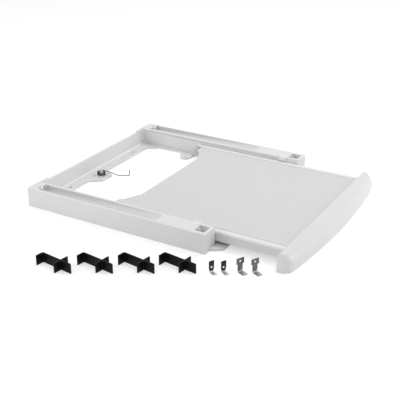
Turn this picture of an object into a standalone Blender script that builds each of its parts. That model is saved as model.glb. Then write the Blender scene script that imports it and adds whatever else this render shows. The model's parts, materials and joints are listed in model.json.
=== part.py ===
"""Washer dryer stacking kit: a low frame that stands between the two machines, with a shelf that pulls
out on rollers, a spring wire catch that holds the shelf shut, and the loose brackets and clips of the kit.

Metres, +Z up. The front is towards -Y. The origin is the middle of the frame's front edge, on the face
that stands on the washer. The shelf's pieces are modelled shut, and their empty draws them out.
"""
import math

import bmesh
import bpy
from mathutils import Vector

# Frame
FRAME_WIDTH = 0.600
FRAME_DEPTH = 0.552
FRAME_HEIGHT = 0.055
RAIL_WIDTH = 0.050
WALL = 0.0035
EDGE_ROUND = 0.0015
FLANGE_HEIGHT = 0.006
FOOT_WIDTH = 0.008

# Clearances and overruns
SEAT_GAP = 0.0003
RUNNING_GAP = 0.0010
OVERRUN = 0.002
BITE = 0.0006
JOIN = 0.003
WELD = 0.000001

# Groove in the top of each rail, where the dryer's feet slide back
GROOVE_OUTER_RIM = 0.006
GROOVE_INNER_RIM = 0.007
GROOVE_FRONT = 0.146
GROOVE_FRONT_DEPTH = 0.0025
GROOVE_REAR_DEPTH = 0.014
CORNER_BLOCK = 0.029
CORNER_BOSS_RADIUS = 0.0105
CORNER_BOSS_INSET = 0.019
CORNER_BOSS_FROM_REAR = 0.027
CORNER_HOLE_RADIUS = 0.0035

# Hollows under each rail
BAY_COUNT = 6
RIB = 0.003
RAIL_WEB = 0.0063

# Front post of each rail
POST_DEPTH = 0.046
POCKET_INSET = 0.010
POCKET_WIDTH = 0.032
POCKET_FRONT = 0.009
POCKET_LENGTH = 0.028
POCKET_DEPTH = 0.022
POCKET_RIB = 0.003
POCKET_RIB_LENGTH = 0.009
POST_SEAM_INSET = 0.030
POST_SEAM = 0.001

# Side tab and the opening's chamfered corners
TAB_FROM_REAR = 0.153
TAB_LENGTH = 0.052
TAB_REACH = 0.043
TAB_TIP_SETBACK = 0.023
TAB_TIP_LENGTH = 0.018
TAB_HOLE_INSET = 0.0145
TAB_HOLE_RADIUS = 0.0025
TAB_BOSS_RADIUS = 0.0055
TAB_BOSS_RISE = 0.0020
OPENING_CHAMFER_X = 0.024
OPENING_CHAMFER_Y = 0.033

# Rear panel and its laps over the rails' corners
REAR_FLANGE = 0.043
REAR_PANEL_DROP = 0.0045
REAR_WALL_BASE = 0.0095
REAR_WALL_TOP = 0.006
REAR_FILLET = 0.0065
CORNER_RETURN = 0.083
LAP_FROM_SIDE = 0.176
LAP_HEIGHT = 0.0028
PAD_FROM_SIDE = 0.143
PAD_WIDTH = 0.026
PAD_LENGTH = 0.022
PAD_RISE = 0.002
PAD_SCREW_FROM_EDGE = 0.010

# Front panel and its lip
FRONT_PANEL_HEIGHT = 0.008
FRONT_PANEL_REAR = 0.033
LIP_REACH = 0.029
LIP_BASE_INSET = 0.022
LIP_TIP_INSET = 0.041
FRONT_LAP_REACH = 0.022
FRONT_LAP_FRONT = 0.006
FRONT_LAP_REAR = 0.030

# Runner track in each rail
TRACK_FRONT = 0.067
TRACK_FROM_REAR = 0.020
TRACK_DROP = 0.0078
TRACK_SHEET = 0.0015
TRACK_WEB = 0.0027
TRACK_SLOT_DROP = 0.0050
TRACK_STOP_HEIGHT = 0.007
TRACK_STOP_LENGTH = 0.005
TRACK_FIRST_SCREW = 0.100
TRACK_LAST_SCREW_FROM_REAR = 0.252
TRACK_SCREW_COUNT = 3
TRACK_SCREW_DROP = 0.027

# Screws
SCREW_RADIUS = 0.0016
SCREW_HEAD_RADIUS = 0.0033
SCREW_HEAD = 0.0016
SCREW_DEPTH = 0.009
SCREW_RECESS = 0.0008
SCREW_EASE = 0.0004
SCREW_SIDES = 10

# Guide block at the front of each rail
GUIDE_FRONT = 0.0395
GUIDE_LENGTH = 0.020
GUIDE_SEAT = 0.012
GUIDE_OVERHANG = 0.006
GUIDE_SEAT_DEPTH = 0.010
GUIDE_RISE = 0.0015
GUIDE_EYE_RADIUS = 0.0030
GUIDE_EYE_DEPTH = 0.003

# Shelf, measured shut
SHELF_OUT = 0.1825
SHELF_TRAVEL_LEFT = 0.092
SHELF_SIDE_GAP = 0.0022
SHELF_FRONT = 0.0
SHELF_DROP = 0.017
SHELF_SHEET = 0.003
SHELF_RIM_DROP = 0.013
SHELF_APRON_BOTTOM = 0.0157
SHELF_APRON = 0.003
SHELF_APRON_LIP = 0.0105
SHELF_RIM_ROUND = 0.0015
SHELF_BAND = 0.015
SHELF_CHANNEL = 0.005
SHELF_CHANNEL_DEPTH = 0.0025
SHELF_RIDGE = 0.005
SHELF_SLOPE = 0.020
SHELF_MIDDLE_FROM_REAR = 0.0865
SHELF_EAR_FROM_REAR = 0.0335
SHELF_STEP_INSET = 0.0968
SHELF_EAR_INSET = 0.0408
SHELF_EAR_STEP_LENGTH = 0.0250
SHELF_EAR_ROOM_LENGTH = 0.0215
SHELF_RIB_DEPTH = 0.008
SHELF_LONG_RIB_SHARES = (0.5,)
SHELF_CROSS_RIB_SHARES = (0.5, 1.0)
SHELF_RIB_BEFORE_TRACK = 0.0045
SHELF_WALL = 0.003

# Rollers
REAR_ROLLER_RADIUS = 0.0122
REAR_ROLLER_WIDTH = 0.0060
REAR_ROLLER_BEHIND_EAR = 0.006
FRONT_ROLLER_RADIUS = 0.0070
FRONT_ROLLER_WIDTH = 0.0070
FRONT_ROLLER_Y = 0.046
ROLLER_SIDES = 20
ROLLER_EDGE = 0.0006
ROLLER_DISH = 0.0012
PIN_RADIUS = 0.0020
PIN_HEAD_RADIUS = 0.0042
PIN_HEAD = 0.0015
PIN_SIDES = 14
CHEEK = 0.0040
CHEEK_RADIUS = 0.0078
CHEEK_ROOT = 0.030

# Front cover of the shelf
COVER_INSET = 0.010
COVER_DEPTH = 0.0535
COVER_BOTTOM = 0.001
COVER_SHOULDER = 0.013
COVER_RIDGE_DROP = 0.0055
COVER_RIDGE_BACK = 0.008
COVER_REAR_ROUND = 0.005
COVER_LEAN = 0.027
COVER_END_LEAN = 0.010
COVER_CORNER = 0.028
COVER_CORNER_LOSS_SHARE = 0.72
COVER_FOOT_ROUND = 0.004
COVER_WALL = 0.003
COVER_BOW_ANGLE = math.radians(7.0)
COVER_LEAN_STEPS = 6
BOSS_LEAN_SHARE = 0.125
COVER_CORNER_STEPS = 6
COVER_REAR_STEPS = 2
COVER_SLOPE_SHARE = 1.1
COVER_RIDGE_EASE = 0.0012
COVER_BOW_STEPS = 14
COVER_LIP_ROOM = 0.011
BOSS_SHARES = (-0.707, -0.241, 0.241, 0.707)
BOSS_SIZE = 0.010
BOSS_RISE_SHARE = 0.456

# Spring wire catch
CATCH_X = -0.037
CATCH_FROM_REAR = 0.051
CATCH_COIL_RADIUS = 0.0113
CATCH_WIRE_RADIUS = 0.0011
CATCH_TURNS = 3.25
CATCH_PITCH = 0.0027
CATCH_CURL_POINTS = 10
CATCH_TAIL = 0.020
CATCH_TIP_UNDER_SHELF = 0.0025
CATCH_ARM_Z = 0.0152
CATCH_BEND = 0.0022
CATCH_POST_RADIUS = 0.0045
CATCH_POST_COLLAR = 0.0085
CATCH_POST_COLLAR_HEIGHT = 0.0015
CATCH_POST_HEIGHT = 0.0135
POST_SIDES = 20
CATCH_TAB_BASE = (-0.090, 0.005)
CATCH_TAB_TIP = (-0.064, -0.018)
CATCH_TAB_REACH = 0.034
CATCH_ANCHOR_LENGTH = 0.006
CATCH_ANCHOR_WIDTH = 0.005
CATCH_ANCHOR_HEIGHT = 0.007
CATCH_KNEE_AWAY = (0.012, -0.025)
CATCH_ELBOW_AWAY = (0.004, -0.055)
CATCH_TIP_AWAY = (0.020, -0.087)

# Catch track under the shelf, measured shut
CATCH_LANE = 0.0080
CATCH_FAR_LANE = 0.0075
CATCH_ISLAND = 0.0050
CATCH_ISLAND_LENGTH = 0.015
CATCH_ISLAND_BEHIND_TIP = 0.0055
CATCH_TRACK_WALL = 0.002
CATCH_TRACK_BASE = 0.0015
CATCH_TRACK_DEPTH = 0.007
CATCH_TRACK_BEFORE_TIP = 0.0095
CATCH_TRACK_LENGTH = 0.046
CATCH_TRACK_EAR = 0.010

# Loose plastic brackets
BRACKET_COUNT = 4
BRACKET_HEIGHT = 0.026
BRACKET_SHEET = 0.003
BRACKET_REAR_ARM = 0.062
BRACKET_FRONT_ARM = 0.033
BRACKET_HOOK = 0.023
BRACKET_CROSS = 0.044
BRACKET_CORNER = 0.005
BRACKET_TURN = math.radians(-7.8)
BRACKET_FIRST_AWAY = (-0.2303, 0.2552)
BRACKET_STEP = (0.0487, -0.0831)

# Loose steel clips
CLIP_SHEET = 0.0015
CLIP_BEND = 0.002
CLIP_TURN = math.radians(-28.0)
CLIP_HOLE_RADIUS = 0.0026
SHORT_CLIP_PLATE = 0.0142
SHORT_CLIP_NECK = 0.0112
SHORT_CLIP_PLATE_HEIGHT = 0.0210
SHORT_CLIP_HEIGHT = 0.0300
SHORT_CLIP_FOOT = 0.017
SHORT_CLIP_HOLE_UP = 0.0045
LONG_CLIP_PLATE = 0.0212
LONG_CLIP_NECK = 0.0140
LONG_CLIP_PLATE_HEIGHT = 0.0155
LONG_CLIP_HEIGHT = 0.0360
LONG_CLIP_FOOT = 0.021
LONG_CLIP_HOLE_UP = 0.0075
SHORT_CLIPS_AWAY = ((-0.0637, -0.0543), (-0.0497, -0.0787))
LONG_CLIPS_AWAY = ((-0.0276, -0.1104), (-0.0128, -0.1416))

# Places worked out from the sizes above
RAIL_OUTER = FRAME_WIDTH / 2
RAIL_INNER = RAIL_OUTER - RAIL_WIDTH
FOOT_EDGE = RAIL_INNER - FOOT_WIDTH
CORNER_RETURN_X = RAIL_OUTER - CORNER_RETURN
TRACK_RUN = FLANGE_HEIGHT + SEAT_GAP + TRACK_SHEET
TRACK_RECESS = TRACK_WEB + 2 * SEAT_GAP
LAP_INNER = RAIL_OUTER - LAP_FROM_SIDE
PAD_X = RAIL_OUTER - PAD_FROM_SIDE
LIP_BASE_X = RAIL_OUTER - LIP_BASE_INSET
LIP_TIP_X = RAIL_OUTER - LIP_TIP_INSET
TAB_REAR = FRAME_DEPTH - TAB_FROM_REAR
TAB_FRONT = TAB_REAR - TAB_LENGTH
TAB_TIP_REAR = TAB_REAR - TAB_TIP_SETBACK
TAB_TIP_FRONT = TAB_TIP_REAR - TAB_TIP_LENGTH
REAR_PANEL_HEIGHT = FRAME_HEIGHT - REAR_PANEL_DROP
TRACK_REAR = FRAME_DEPTH - TRACK_FROM_REAR
TRACK_TOP = FRAME_HEIGHT - TRACK_DROP
TRACK_SLOT_TOP = FRAME_HEIGHT - TRACK_SLOT_DROP
TRACK_SCREW_Z = FRAME_HEIGHT - TRACK_SCREW_DROP
GUIDE_BOTTOM = FRAME_HEIGHT - GUIDE_SEAT_DEPTH
GUIDE_TOP = FRAME_HEIGHT + GUIDE_RISE
SHELF_TOP = FRAME_HEIGHT - SHELF_DROP
SHELF_RIM = FRAME_HEIGHT - SHELF_RIM_DROP
SHELF_UNDER = SHELF_TOP - SHELF_SHEET
SHELF_EDGE = RAIL_INNER - SHELF_SIDE_GAP
SHELF_STEP_X = SHELF_EDGE - SHELF_STEP_INSET
SHELF_EAR_X = SHELF_EDGE - SHELF_EAR_INSET
SHELF_REAR_MIDDLE = FRAME_DEPTH - SHELF_MIDDLE_FROM_REAR
SHELF_REAR_EAR = FRAME_DEPTH - SHELF_EAR_FROM_REAR
SHELF_EAR_STEP = SHELF_REAR_EAR - SHELF_EAR_STEP_LENGTH
SHELF_EAR_ROOM = SHELF_REAR_EAR - SHELF_EAR_ROOM_LENGTH
SHELF_RIB_X = [share * SHELF_EDGE for share in SHELF_LONG_RIB_SHARES]
COVER_WIDTH = FRAME_WIDTH - 2 * COVER_INSET
COVER_RIDGE = FRAME_HEIGHT - COVER_RIDGE_DROP
COVER_REAR_TOP = SHELF_RIM
BOSS_X = [share * COVER_WIDTH / 2 for share in BOSS_SHARES]
BOSS_Z = SHELF_APRON_BOTTOM + BOSS_RISE_SHARE * (SHELF_UNDER - SHELF_APRON_BOTTOM)
REAR_ROLLER_Y = SHELF_REAR_EAR + REAR_ROLLER_BEHIND_EAR
REAR_ROLLER_Z = TRACK_RUN + SEAT_GAP + REAR_ROLLER_RADIUS
FRONT_ROLLER_Z = SHELF_APRON_BOTTOM - SEAT_GAP - FRONT_ROLLER_RADIUS
ROLLER_OUTER = RAIL_INNER - RUNNING_GAP
CHEEK_OUTER = ROLLER_OUTER - REAR_ROLLER_WIDTH - SEAT_GAP
REAR_LAP_EDGE = FRAME_DEPTH - REAR_FLANGE
CATCH_Y = FRAME_DEPTH - CATCH_FROM_REAR
CATCH_KNEE = (CATCH_X + CATCH_KNEE_AWAY[0], CATCH_Y + CATCH_KNEE_AWAY[1])
CATCH_ELBOW = (CATCH_X + CATCH_ELBOW_AWAY[0], CATCH_Y + CATCH_ELBOW_AWAY[1])
CATCH_TIP = (CATCH_X + CATCH_TIP_AWAY[0], CATCH_Y + CATCH_TIP_AWAY[1])
CATCH_TIP_TOP = SHELF_UNDER - CATCH_TIP_UNDER_SHELF
CATCH_TRACK_FRONT = CATCH_TIP[1] - CATCH_TRACK_BEFORE_TIP
SHELF_RIB_Y = [share * (CATCH_TRACK_FRONT - SHELF_RIB_BEFORE_TRACK) for share in SHELF_CROSS_RIB_SHARES]
BRACKET_FIRST = (BRACKET_FIRST_AWAY[0] - RAIL_OUTER, BRACKET_FIRST_AWAY[1])
SHORT_CLIP_PLACES = [(x - RAIL_OUTER, y) for x, y in SHORT_CLIPS_AWAY]
LONG_CLIP_PLACES = [(x - RAIL_OUTER, y) for x, y in LONG_CLIPS_AWAY]

# Fresh scene and its two collections
for old in list(bpy.data.objects):
    bpy.data.objects.remove(old, do_unlink=True)
PARTS = bpy.data.collections.new("washer_dryer_stacking_kit")
CUTTERS = bpy.data.collections.new("cutters")
bpy.context.scene.collection.children.link(PARTS)
bpy.context.scene.collection.children.link(CUTTERS)


def linear(hex_colour):
    """A linear colour from an sRGB hex value."""
    channels = [int(hex_colour[i:i + 2], 16) / 255 for i in (0, 2, 4)]
    return tuple(c / 12.92 if c <= 0.04045 else ((c + 0.055) / 1.055) ** 2.4 for c in channels) + (1.0,)


def material(name, hex_colour, roughness, metallic):
    finish = bpy.data.materials.new(name)
    finish.use_nodes = True
    shader = finish.node_tree.nodes["Principled BSDF"]
    shader.inputs["Base Color"].default_value = linear(hex_colour)
    shader.inputs["Roughness"].default_value = roughness
    shader.inputs["Metallic"].default_value = metallic
    finish.diffuse_color = linear(hex_colour)
    return finish


FRAME_WHITE = material("white_moulded_frame", "E6E7E8", 0.42, 0.0)
SHELF_WHITE = material("white_moulded_shelf", "E2E3E5", 0.45, 0.0)
COVER_WHITE = material("white_gloss_cover", "ECEDEE", 0.30, 0.0)
TRACK_WHITE = material("white_coated_track", "DDDEE0", 0.40, 0.0)
WHITE_ACETAL = material("white_acetal", "E8E8E6", 0.38, 0.0)
BRACKET_BLACK = material("black_moulded_bracket", "161617", 0.45, 0.0)
ZINC = material("zinc_plated_steel", "B9BCBE", 0.32, 1.0)
SPRING_STEEL = material("dark_spring_steel", "4A4A4C", 0.35, 1.0)
CLIP_DARK = material("blackened_steel", "3A3B3D", 0.40, 1.0)
CLIP_GREY = material("bare_steel", "77797B", 0.36, 1.0)


def show(obj, finish):
    """Put a finished piece in the parts' collection with its material."""
    PARTS.objects.link(obj)
    obj.data.materials.clear()
    obj.data.materials.append(finish)
    return obj


def span(side, near, far):
    """The X range between two distances from the middle, on the side given as -1 or 1."""
    return tuple(sorted((side * near, side * far)))


def arc(centre, radius, start, stop, steps):
    """Points of an arc between two angles in degrees."""
    angles = [math.radians(start + (stop - start) * i / steps) for i in range(steps + 1)]
    return [(centre[0] + radius * math.cos(a), centre[1] + radius * math.sin(a)) for a in angles]


def box(name, x, y, z):
    """A box between the low and high ends of three ranges."""
    mesh = bpy.data.meshes.new(name)
    shape = bmesh.new()
    bmesh.ops.create_cube(shape, size=1.0)
    for vert in shape.verts:
        vert.co = (x[vert.co.x > 0], y[vert.co.y > 0], z[vert.co.z > 0])
    shape.to_mesh(mesh)
    shape.free()
    return bpy.data.objects.new(name, mesh)


AXES = {"X": Vector((1, 0, 0)), "Y": Vector((0, 1, 0)), "Z": Vector((0, 0, 1))}


def flat(place, along):
    """The two coordinates of a place that lie across an axis."""
    return tuple(value for value, axis in zip(place, "XYZ") if axis != along)


def stand(shape, middle, low, high, along):
    """Put a shape made about Z at its middle, with its ends at exactly two heights of the given axis."""
    for vert in shape.verts:
        u = vert.co.x + middle[0]
        v = vert.co.y + middle[1]
        w = high if vert.co.z > 0 else low
        vert.co = {"X": (w, u, v), "Y": (u, w, v), "Z": (u, v, w)}[along]
    shape.normal_update()
    bmesh.ops.recalc_face_normals(shape, faces=shape.faces)


def rod(name, radius, centre, length, along, sides=PIN_SIDES):
    """A round bar of one radius, centred on a point."""
    mesh = bpy.data.meshes.new(name)
    shape = bmesh.new()
    bmesh.ops.create_cone(shape, cap_ends=True, segments=sides, radius1=radius, radius2=radius, depth=1.0)
    place = AXES[along].dot(Vector(centre))
    stand(shape, flat(centre, along), place - length / 2, place + length / 2, along)
    shape.to_mesh(mesh)
    shape.free()
    return bpy.data.objects.new(name, mesh)


def drawn_shape(obj):
    """The evaluated form of a curve or of a piece with modifiers, its loose caps welded."""
    CUTTERS.objects.link(obj)
    bpy.context.view_layer.update()
    mesh = bpy.data.meshes.new_from_object(obj.evaluated_get(bpy.context.evaluated_depsgraph_get()))
    shape = bmesh.new()
    shape.from_mesh(mesh)
    bmesh.ops.remove_doubles(shape, verts=shape.verts, dist=WELD)
    bmesh.ops.recalc_face_normals(shape, faces=shape.faces)
    bpy.data.meshes.remove(mesh)
    return shape


def kept_mesh(obj):
    """That form as a mesh of its own. The object that it was drawn with is removed, with its tools."""
    shape = drawn_shape(obj)
    mesh = bpy.data.meshes.new(obj.name)
    shape.to_mesh(mesh)
    shape.free()
    tools = [step.object for step in obj.modifiers if step.type == "BOOLEAN"]
    for done in [obj] + tools:
        bpy.data.objects.remove(done, do_unlink=True)
    return mesh


def prism(name, outline, low, high, along):
    """A flat outline drawn out between two heights. Along X it is read as (y, z), along Y as (x, z)."""
    curve = bpy.data.curves.new(name, "CURVE")
    curve.dimensions = "2D"
    curve.fill_mode = "BOTH"
    curve.extrude = (high - low) / 2
    spline = curve.splines.new("POLY")
    spline.points.add(len(outline) - 1)
    for point, (u, v) in zip(spline.points, outline):
        point.co = (u, v, 0, 1)
    spline.use_cyclic_u = True
    spline.use_smooth = False
    drawn = bpy.data.objects.new(name, curve)
    shape = drawn_shape(drawn)
    bpy.data.objects.remove(drawn, do_unlink=True)
    stand(shape, (0, 0), low, high, along)
    mesh = bpy.data.meshes.new(name)
    shape.to_mesh(mesh)
    shape.free()
    return bpy.data.objects.new(name, mesh)


def turned(name, profile, centre, along, sides, ring):
    """A turned piece. Its profile of (radius, height) runs down the outer side, top to bottom."""
    mesh = bpy.data.meshes.new(name)
    count = len(profile)
    edges = [(i, i + 1) for i in range(count - 1)]
    if ring:
        edges.append((count - 1, 0))
    mesh.from_pydata([(radius, 0, height) for radius, height in profile], edges, [])
    obj = bpy.data.objects.new(name, mesh)
    screw = obj.modifiers.new("turn", "SCREW")
    screw.steps = sides
    screw.render_steps = sides
    screw.use_merge_vertices = True
    screw.merge_threshold = WELD
    screw.use_smooth_shade = True
    obj.location = centre
    obj.rotation_euler = AXES["Z"].rotation_difference(AXES[along]).to_euler()
    return obj


def use_tool(target, tool, operation):
    tool.hide_render = True
    tool.display_type = "WIRE"
    CUTTERS.objects.link(tool)
    step = target.modifiers.new(operation.lower(), "BOOLEAN")
    step.operation = operation
    step.object = tool


def cut(target, *tools):
    for tool in tools:
        use_tool(target, tool, "DIFFERENCE")


def fuse(target, *tools):
    for tool in tools:
        use_tool(target, tool, "UNION")


def rounded(obj, width, segments):
    """A form with rounded edges, before any cut is made. A fine grid keeps its flat faces truly flat."""
    bevel = obj.modifiers.new("edges", "BEVEL")
    bevel.width = width
    bevel.segments = segments
    bevel.limit_method = "ANGLE"
    name = obj.name
    mesh = kept_mesh(obj)
    for vert in mesh.vertices:
        vert.co = [round(c / WELD) * WELD for c in vert.co]
    return bpy.data.objects.new(name, mesh)


def carry(empty, *pieces):
    """Hang pieces, and the tools that shape them, on the empty that moves them."""
    for piece in pieces:
        piece.parent = empty
        for step in piece.modifiers:
            if step.type == "BOOLEAN":
                step.object.parent = empty


def screws(label, places, towards, depth):
    """One kind of cheese-head screw at each place: its seat there, its head up the direction given."""
    profile = [
        (0, SCREW_HEAD - SCREW_RECESS),
        (SCREW_RADIUS, SCREW_HEAD - SCREW_RECESS), (SCREW_RADIUS, SCREW_HEAD),
        (SCREW_HEAD_RADIUS - SCREW_EASE, SCREW_HEAD), (SCREW_HEAD_RADIUS, SCREW_HEAD - SCREW_EASE),
        (SCREW_HEAD_RADIUS, 0), (SCREW_RADIUS, 0), (SCREW_RADIUS, SCREW_EASE - depth),
        (SCREW_RADIUS - SCREW_EASE, -depth), (0, -depth),
    ]
    mesh = kept_mesh(turned(label, profile, (0, 0, 0), "Z", SCREW_SIDES, False))
    made = []
    for i, place in enumerate(places):
        one = bpy.data.objects.new(f"{label}_{i + 1}", mesh)
        one.location = place
        one.rotation_euler = AXES["Z"].rotation_difference(towards).to_euler()
        made.append(show(one, ZINC))
    return made


def rear_profile(height):
    """The rear wall with its flange, as (y, z): fillet at the foot and a rounded top."""
    wall_foot = FRAME_DEPTH - REAR_WALL_BASE
    wall_head = FRAME_DEPTH - REAR_WALL_TOP
    return [
        (REAR_LAP_EDGE, 0),
        (FRAME_DEPTH, 0),
        (FRAME_DEPTH, height - EDGE_ROUND),
        (FRAME_DEPTH - EDGE_ROUND, height),
        (wall_head + EDGE_ROUND, height),
        (wall_head, height - EDGE_ROUND),
        (wall_foot, FLANGE_HEIGHT + REAR_FILLET),
        (wall_foot - REAR_FILLET / 4, FLANGE_HEIGHT + REAR_FILLET / 4),
        (wall_foot - REAR_FILLET, FLANGE_HEIGHT),
        (REAR_LAP_EDGE, FLANGE_HEIGHT),
    ]


def track_screw_places():
    """How far back each screw of a runner track sits, evenly spread from the first to the last."""
    pitch = (FRAME_DEPTH - TRACK_LAST_SCREW_FROM_REAR - TRACK_FIRST_SCREW) / (TRACK_SCREW_COUNT - 1)
    return [TRACK_FIRST_SCREW + i * pitch for i in range(TRACK_SCREW_COUNT)]


def side_rail(name, side):
    """One moulded rail with its front post, groove, corner boss, foot, side tab and rear return."""
    bar = box(name, span(side, RAIL_INNER, RAIL_OUTER), (0, FRAME_DEPTH), (0, FRAME_HEIGHT))
    rail = rounded(bar, EDGE_ROUND, 2)

    # The foot along the inner side, the return at the rear and the laps that carry the panels
    foot = box(name + "_foot", span(side, FOOT_EDGE, RAIL_INNER + JOIN), (0, REAR_LAP_EDGE + JOIN),
               (0, FLANGE_HEIGHT))
    rear_return = prism(name + "_return", rear_profile(FRAME_HEIGHT),
                        *span(side, CORNER_RETURN_X + SEAT_GAP / 2, RAIL_INNER + JOIN), "X")
    rear_lap = box(name + "_rear_lap", span(side, LAP_INNER, CORNER_RETURN_X + JOIN),
                   (REAR_LAP_EDGE, FRAME_DEPTH - REAR_WALL_BASE), (0, LAP_HEIGHT))
    front_lap = box(name + "_front_lap", span(side, FOOT_EDGE - FRONT_LAP_REACH, FOOT_EDGE + BITE),
                    (FRONT_LAP_FRONT, FRONT_LAP_REAR), (0, LAP_HEIGHT))
    chamfer = prism(name + "_chamfer", [
        (side * (FOOT_EDGE - OPENING_CHAMFER_X), REAR_LAP_EDGE + BITE),
        (side * (FOOT_EDGE + BITE), REAR_LAP_EDGE - OPENING_CHAMFER_Y),
        (side * (FOOT_EDGE + BITE), REAR_LAP_EDGE + BITE),
    ], 0, FLANGE_HEIGHT, "Z")
    tab_edge = FOOT_EDGE + BITE
    tab_tip = FOOT_EDGE - TAB_REACH
    tab_side = FOOT_EDGE - 2 * TAB_HOLE_INSET
    tab = prism(name + "_tab", [
        (side * tab_edge, TAB_REAR),
        (side * (tab_tip + EDGE_ROUND), TAB_TIP_REAR),
        (side * tab_tip, (TAB_TIP_REAR + TAB_TIP_FRONT) / 2),
        (side * (tab_tip + EDGE_ROUND), TAB_TIP_FRONT),
        (side * tab_side, TAB_FRONT + EDGE_ROUND),
        (side * tab_edge, TAB_FRONT),
    ], 0, FLANGE_HEIGHT, "Z")
    tab_hole_x = side * (tab_tip + TAB_HOLE_INSET)
    tab_hole_y = (TAB_TIP_REAR + TAB_TIP_FRONT) / 2
    tab_boss = rod(name + "_tab_boss", TAB_BOSS_RADIUS, (tab_hole_x, tab_hole_y, FLANGE_HEIGHT),
                   2 * TAB_BOSS_RISE, "Z")
    fuse(rail, foot, rear_return, rear_lap, front_lap, chamfer, tab, tab_boss)
    cut(rail, rod(name + "_tab_hole", TAB_HOLE_RADIUS, (tab_hole_x, tab_hole_y, FLANGE_HEIGHT),
                  2 * FRAME_HEIGHT, "Z"))

    # The groove in the top, with the corner boss standing at its rear end
    groove_low = RAIL_INNER + GROOVE_INNER_RIM
    groove_high = RAIL_OUTER - GROOVE_OUTER_RIM
    groove_rear = FRAME_DEPTH - CORNER_BLOCK
    groove = prism(name + "_groove", [
        (GROOVE_FRONT, FRAME_HEIGHT - GROOVE_FRONT_DEPTH),
        (groove_rear, FRAME_HEIGHT - GROOVE_REAR_DEPTH),
        (groove_rear, FRAME_HEIGHT + OVERRUN),
        (GROOVE_FRONT, FRAME_HEIGHT + OVERRUN),
    ], *span(side, groove_low, groove_high), "X")
    boss_x = side * (RAIL_OUTER - CORNER_BOSS_INSET)
    boss_y = FRAME_DEPTH - CORNER_BOSS_FROM_REAR
    boss_low = FRAME_HEIGHT - GROOVE_REAR_DEPTH - BITE
    boss_high = FRAME_HEIGHT - BITE
    boss = rod(name + "_boss", CORNER_BOSS_RADIUS, (boss_x, boss_y, (boss_low + boss_high) / 2),
               boss_high - boss_low, "Z", sides=24)
    cut(rail, groove)
    fuse(rail, boss)
    cut(rail, rod(name + "_boss_hole", CORNER_HOLE_RADIUS, (boss_x, boss_y, FRAME_HEIGHT),
                  4 * FRAME_HEIGHT, "Z"))

    # Hollows from below, between cross ribs
    deck = FRAME_HEIGHT - GROOVE_REAR_DEPTH - WALL
    hollow_x = span(side, RAIL_INNER + RAIL_WEB, RAIL_OUTER - WALL)
    first = POST_DEPTH + WALL
    pitch = (groove_rear - first) / BAY_COUNT
    for i in range(BAY_COUNT):
        low = first + i * pitch
        cut(rail, box(f"{name}_bay_{i + 1}", hollow_x, (low, low + pitch - RIB), (-OVERRUN, deck)))
    post_deck = FRAME_HEIGHT - POCKET_DEPTH - WALL
    cut(rail, box(name + "_post_bay", hollow_x, (WALL, POCKET_FRONT + POCKET_LENGTH - WALL),
                  (-OVERRUN, post_deck)))

    # The pocket in the post, with a rib on its rear wall, and the seam down the post's face
    pocket_outer = RAIL_OUTER - POCKET_INSET
    pocket_rear = POCKET_FRONT + POCKET_LENGTH
    pocket = box(name + "_pocket", span(side, pocket_outer - POCKET_WIDTH, pocket_outer),
                 (POCKET_FRONT, pocket_rear), (FRAME_HEIGHT - POCKET_DEPTH, FRAME_HEIGHT + OVERRUN))
    rib_middle = pocket_outer - POCKET_WIDTH / 2
    rib = box(name + "_pocket_rib", span(side, rib_middle - POCKET_RIB / 2, rib_middle + POCKET_RIB / 2),
              (pocket_rear - POCKET_RIB_LENGTH, pocket_rear + BITE),
              (FRAME_HEIGHT - POCKET_DEPTH - BITE, FRAME_HEIGHT - POCKET_RIB))
    seam_x = RAIL_OUTER - POST_SEAM_INSET
    seam = box(name + "_seam", span(side, seam_x - POST_SEAM / 2, seam_x + POST_SEAM / 2),
               (-POST_SEAM, POST_SEAM), (-OVERRUN, FRAME_HEIGHT + OVERRUN))
    cut(rail, pocket)
    fuse(rail, rib)
    cut(rail, seam)

    # Seats for the runner track, its screws, the guide block and the front roller with its pin
    track_seat = box(name + "_track_seat", span(side, RAIL_INNER - OVERRUN, RAIL_INNER + TRACK_RECESS),
                     (TRACK_FRONT - SEAT_GAP, TRACK_REAR + SEAT_GAP), (FLANGE_HEIGHT, TRACK_SLOT_TOP))
    guide_seat = box(name + "_guide_seat", span(side, RAIL_INNER - OVERRUN, RAIL_INNER + GUIDE_SEAT),
                     (GUIDE_FRONT, GUIDE_FRONT + GUIDE_LENGTH), (GUIDE_BOTTOM, FRAME_HEIGHT + OVERRUN))
    roller_room = box(name + "_roller_room", span(side, FOOT_EDGE - OVERRUN, RAIL_INNER),
                      (FRONT_ROLLER_Y - FRONT_ROLLER_RADIUS - RUNNING_GAP,
                       FRONT_ROLLER_Y + FRONT_ROLLER_RADIUS + RUNNING_GAP), (-OVERRUN, FRAME_HEIGHT / 2))
    pin_hole = rod(name + "_pin_hole", PIN_RADIUS + SEAT_GAP,
                   (side * RAIL_INNER, FRONT_ROLLER_Y, FRONT_ROLLER_Z), 2 * front_pin_bite(), "X")
    cut(rail, track_seat, guide_seat, roller_room, pin_hole)
    for i, y in enumerate(track_screw_places()):
        cut(rail, rod(f"{name}_screw_hole_{i + 1}", SCREW_RADIUS + SEAT_GAP,
                      (side * RAIL_INNER, y, TRACK_SCREW_Z), 4 * SCREW_DEPTH, "X"))
    for i, (x, y) in enumerate(lap_screw_places(side)):
        cut(rail, rod(f"{name}_lap_hole_{i + 1}", SCREW_RADIUS + SEAT_GAP, (x, y, LAP_HEIGHT),
                      2 * (LAP_HEIGHT - SCREW_RECESS), "Z"))
    return show(rail, FRAME_WHITE)


def front_pin_bite():
    """How far the front roller's pin goes into the rail."""
    return RAIL_WEB + WALL


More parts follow.
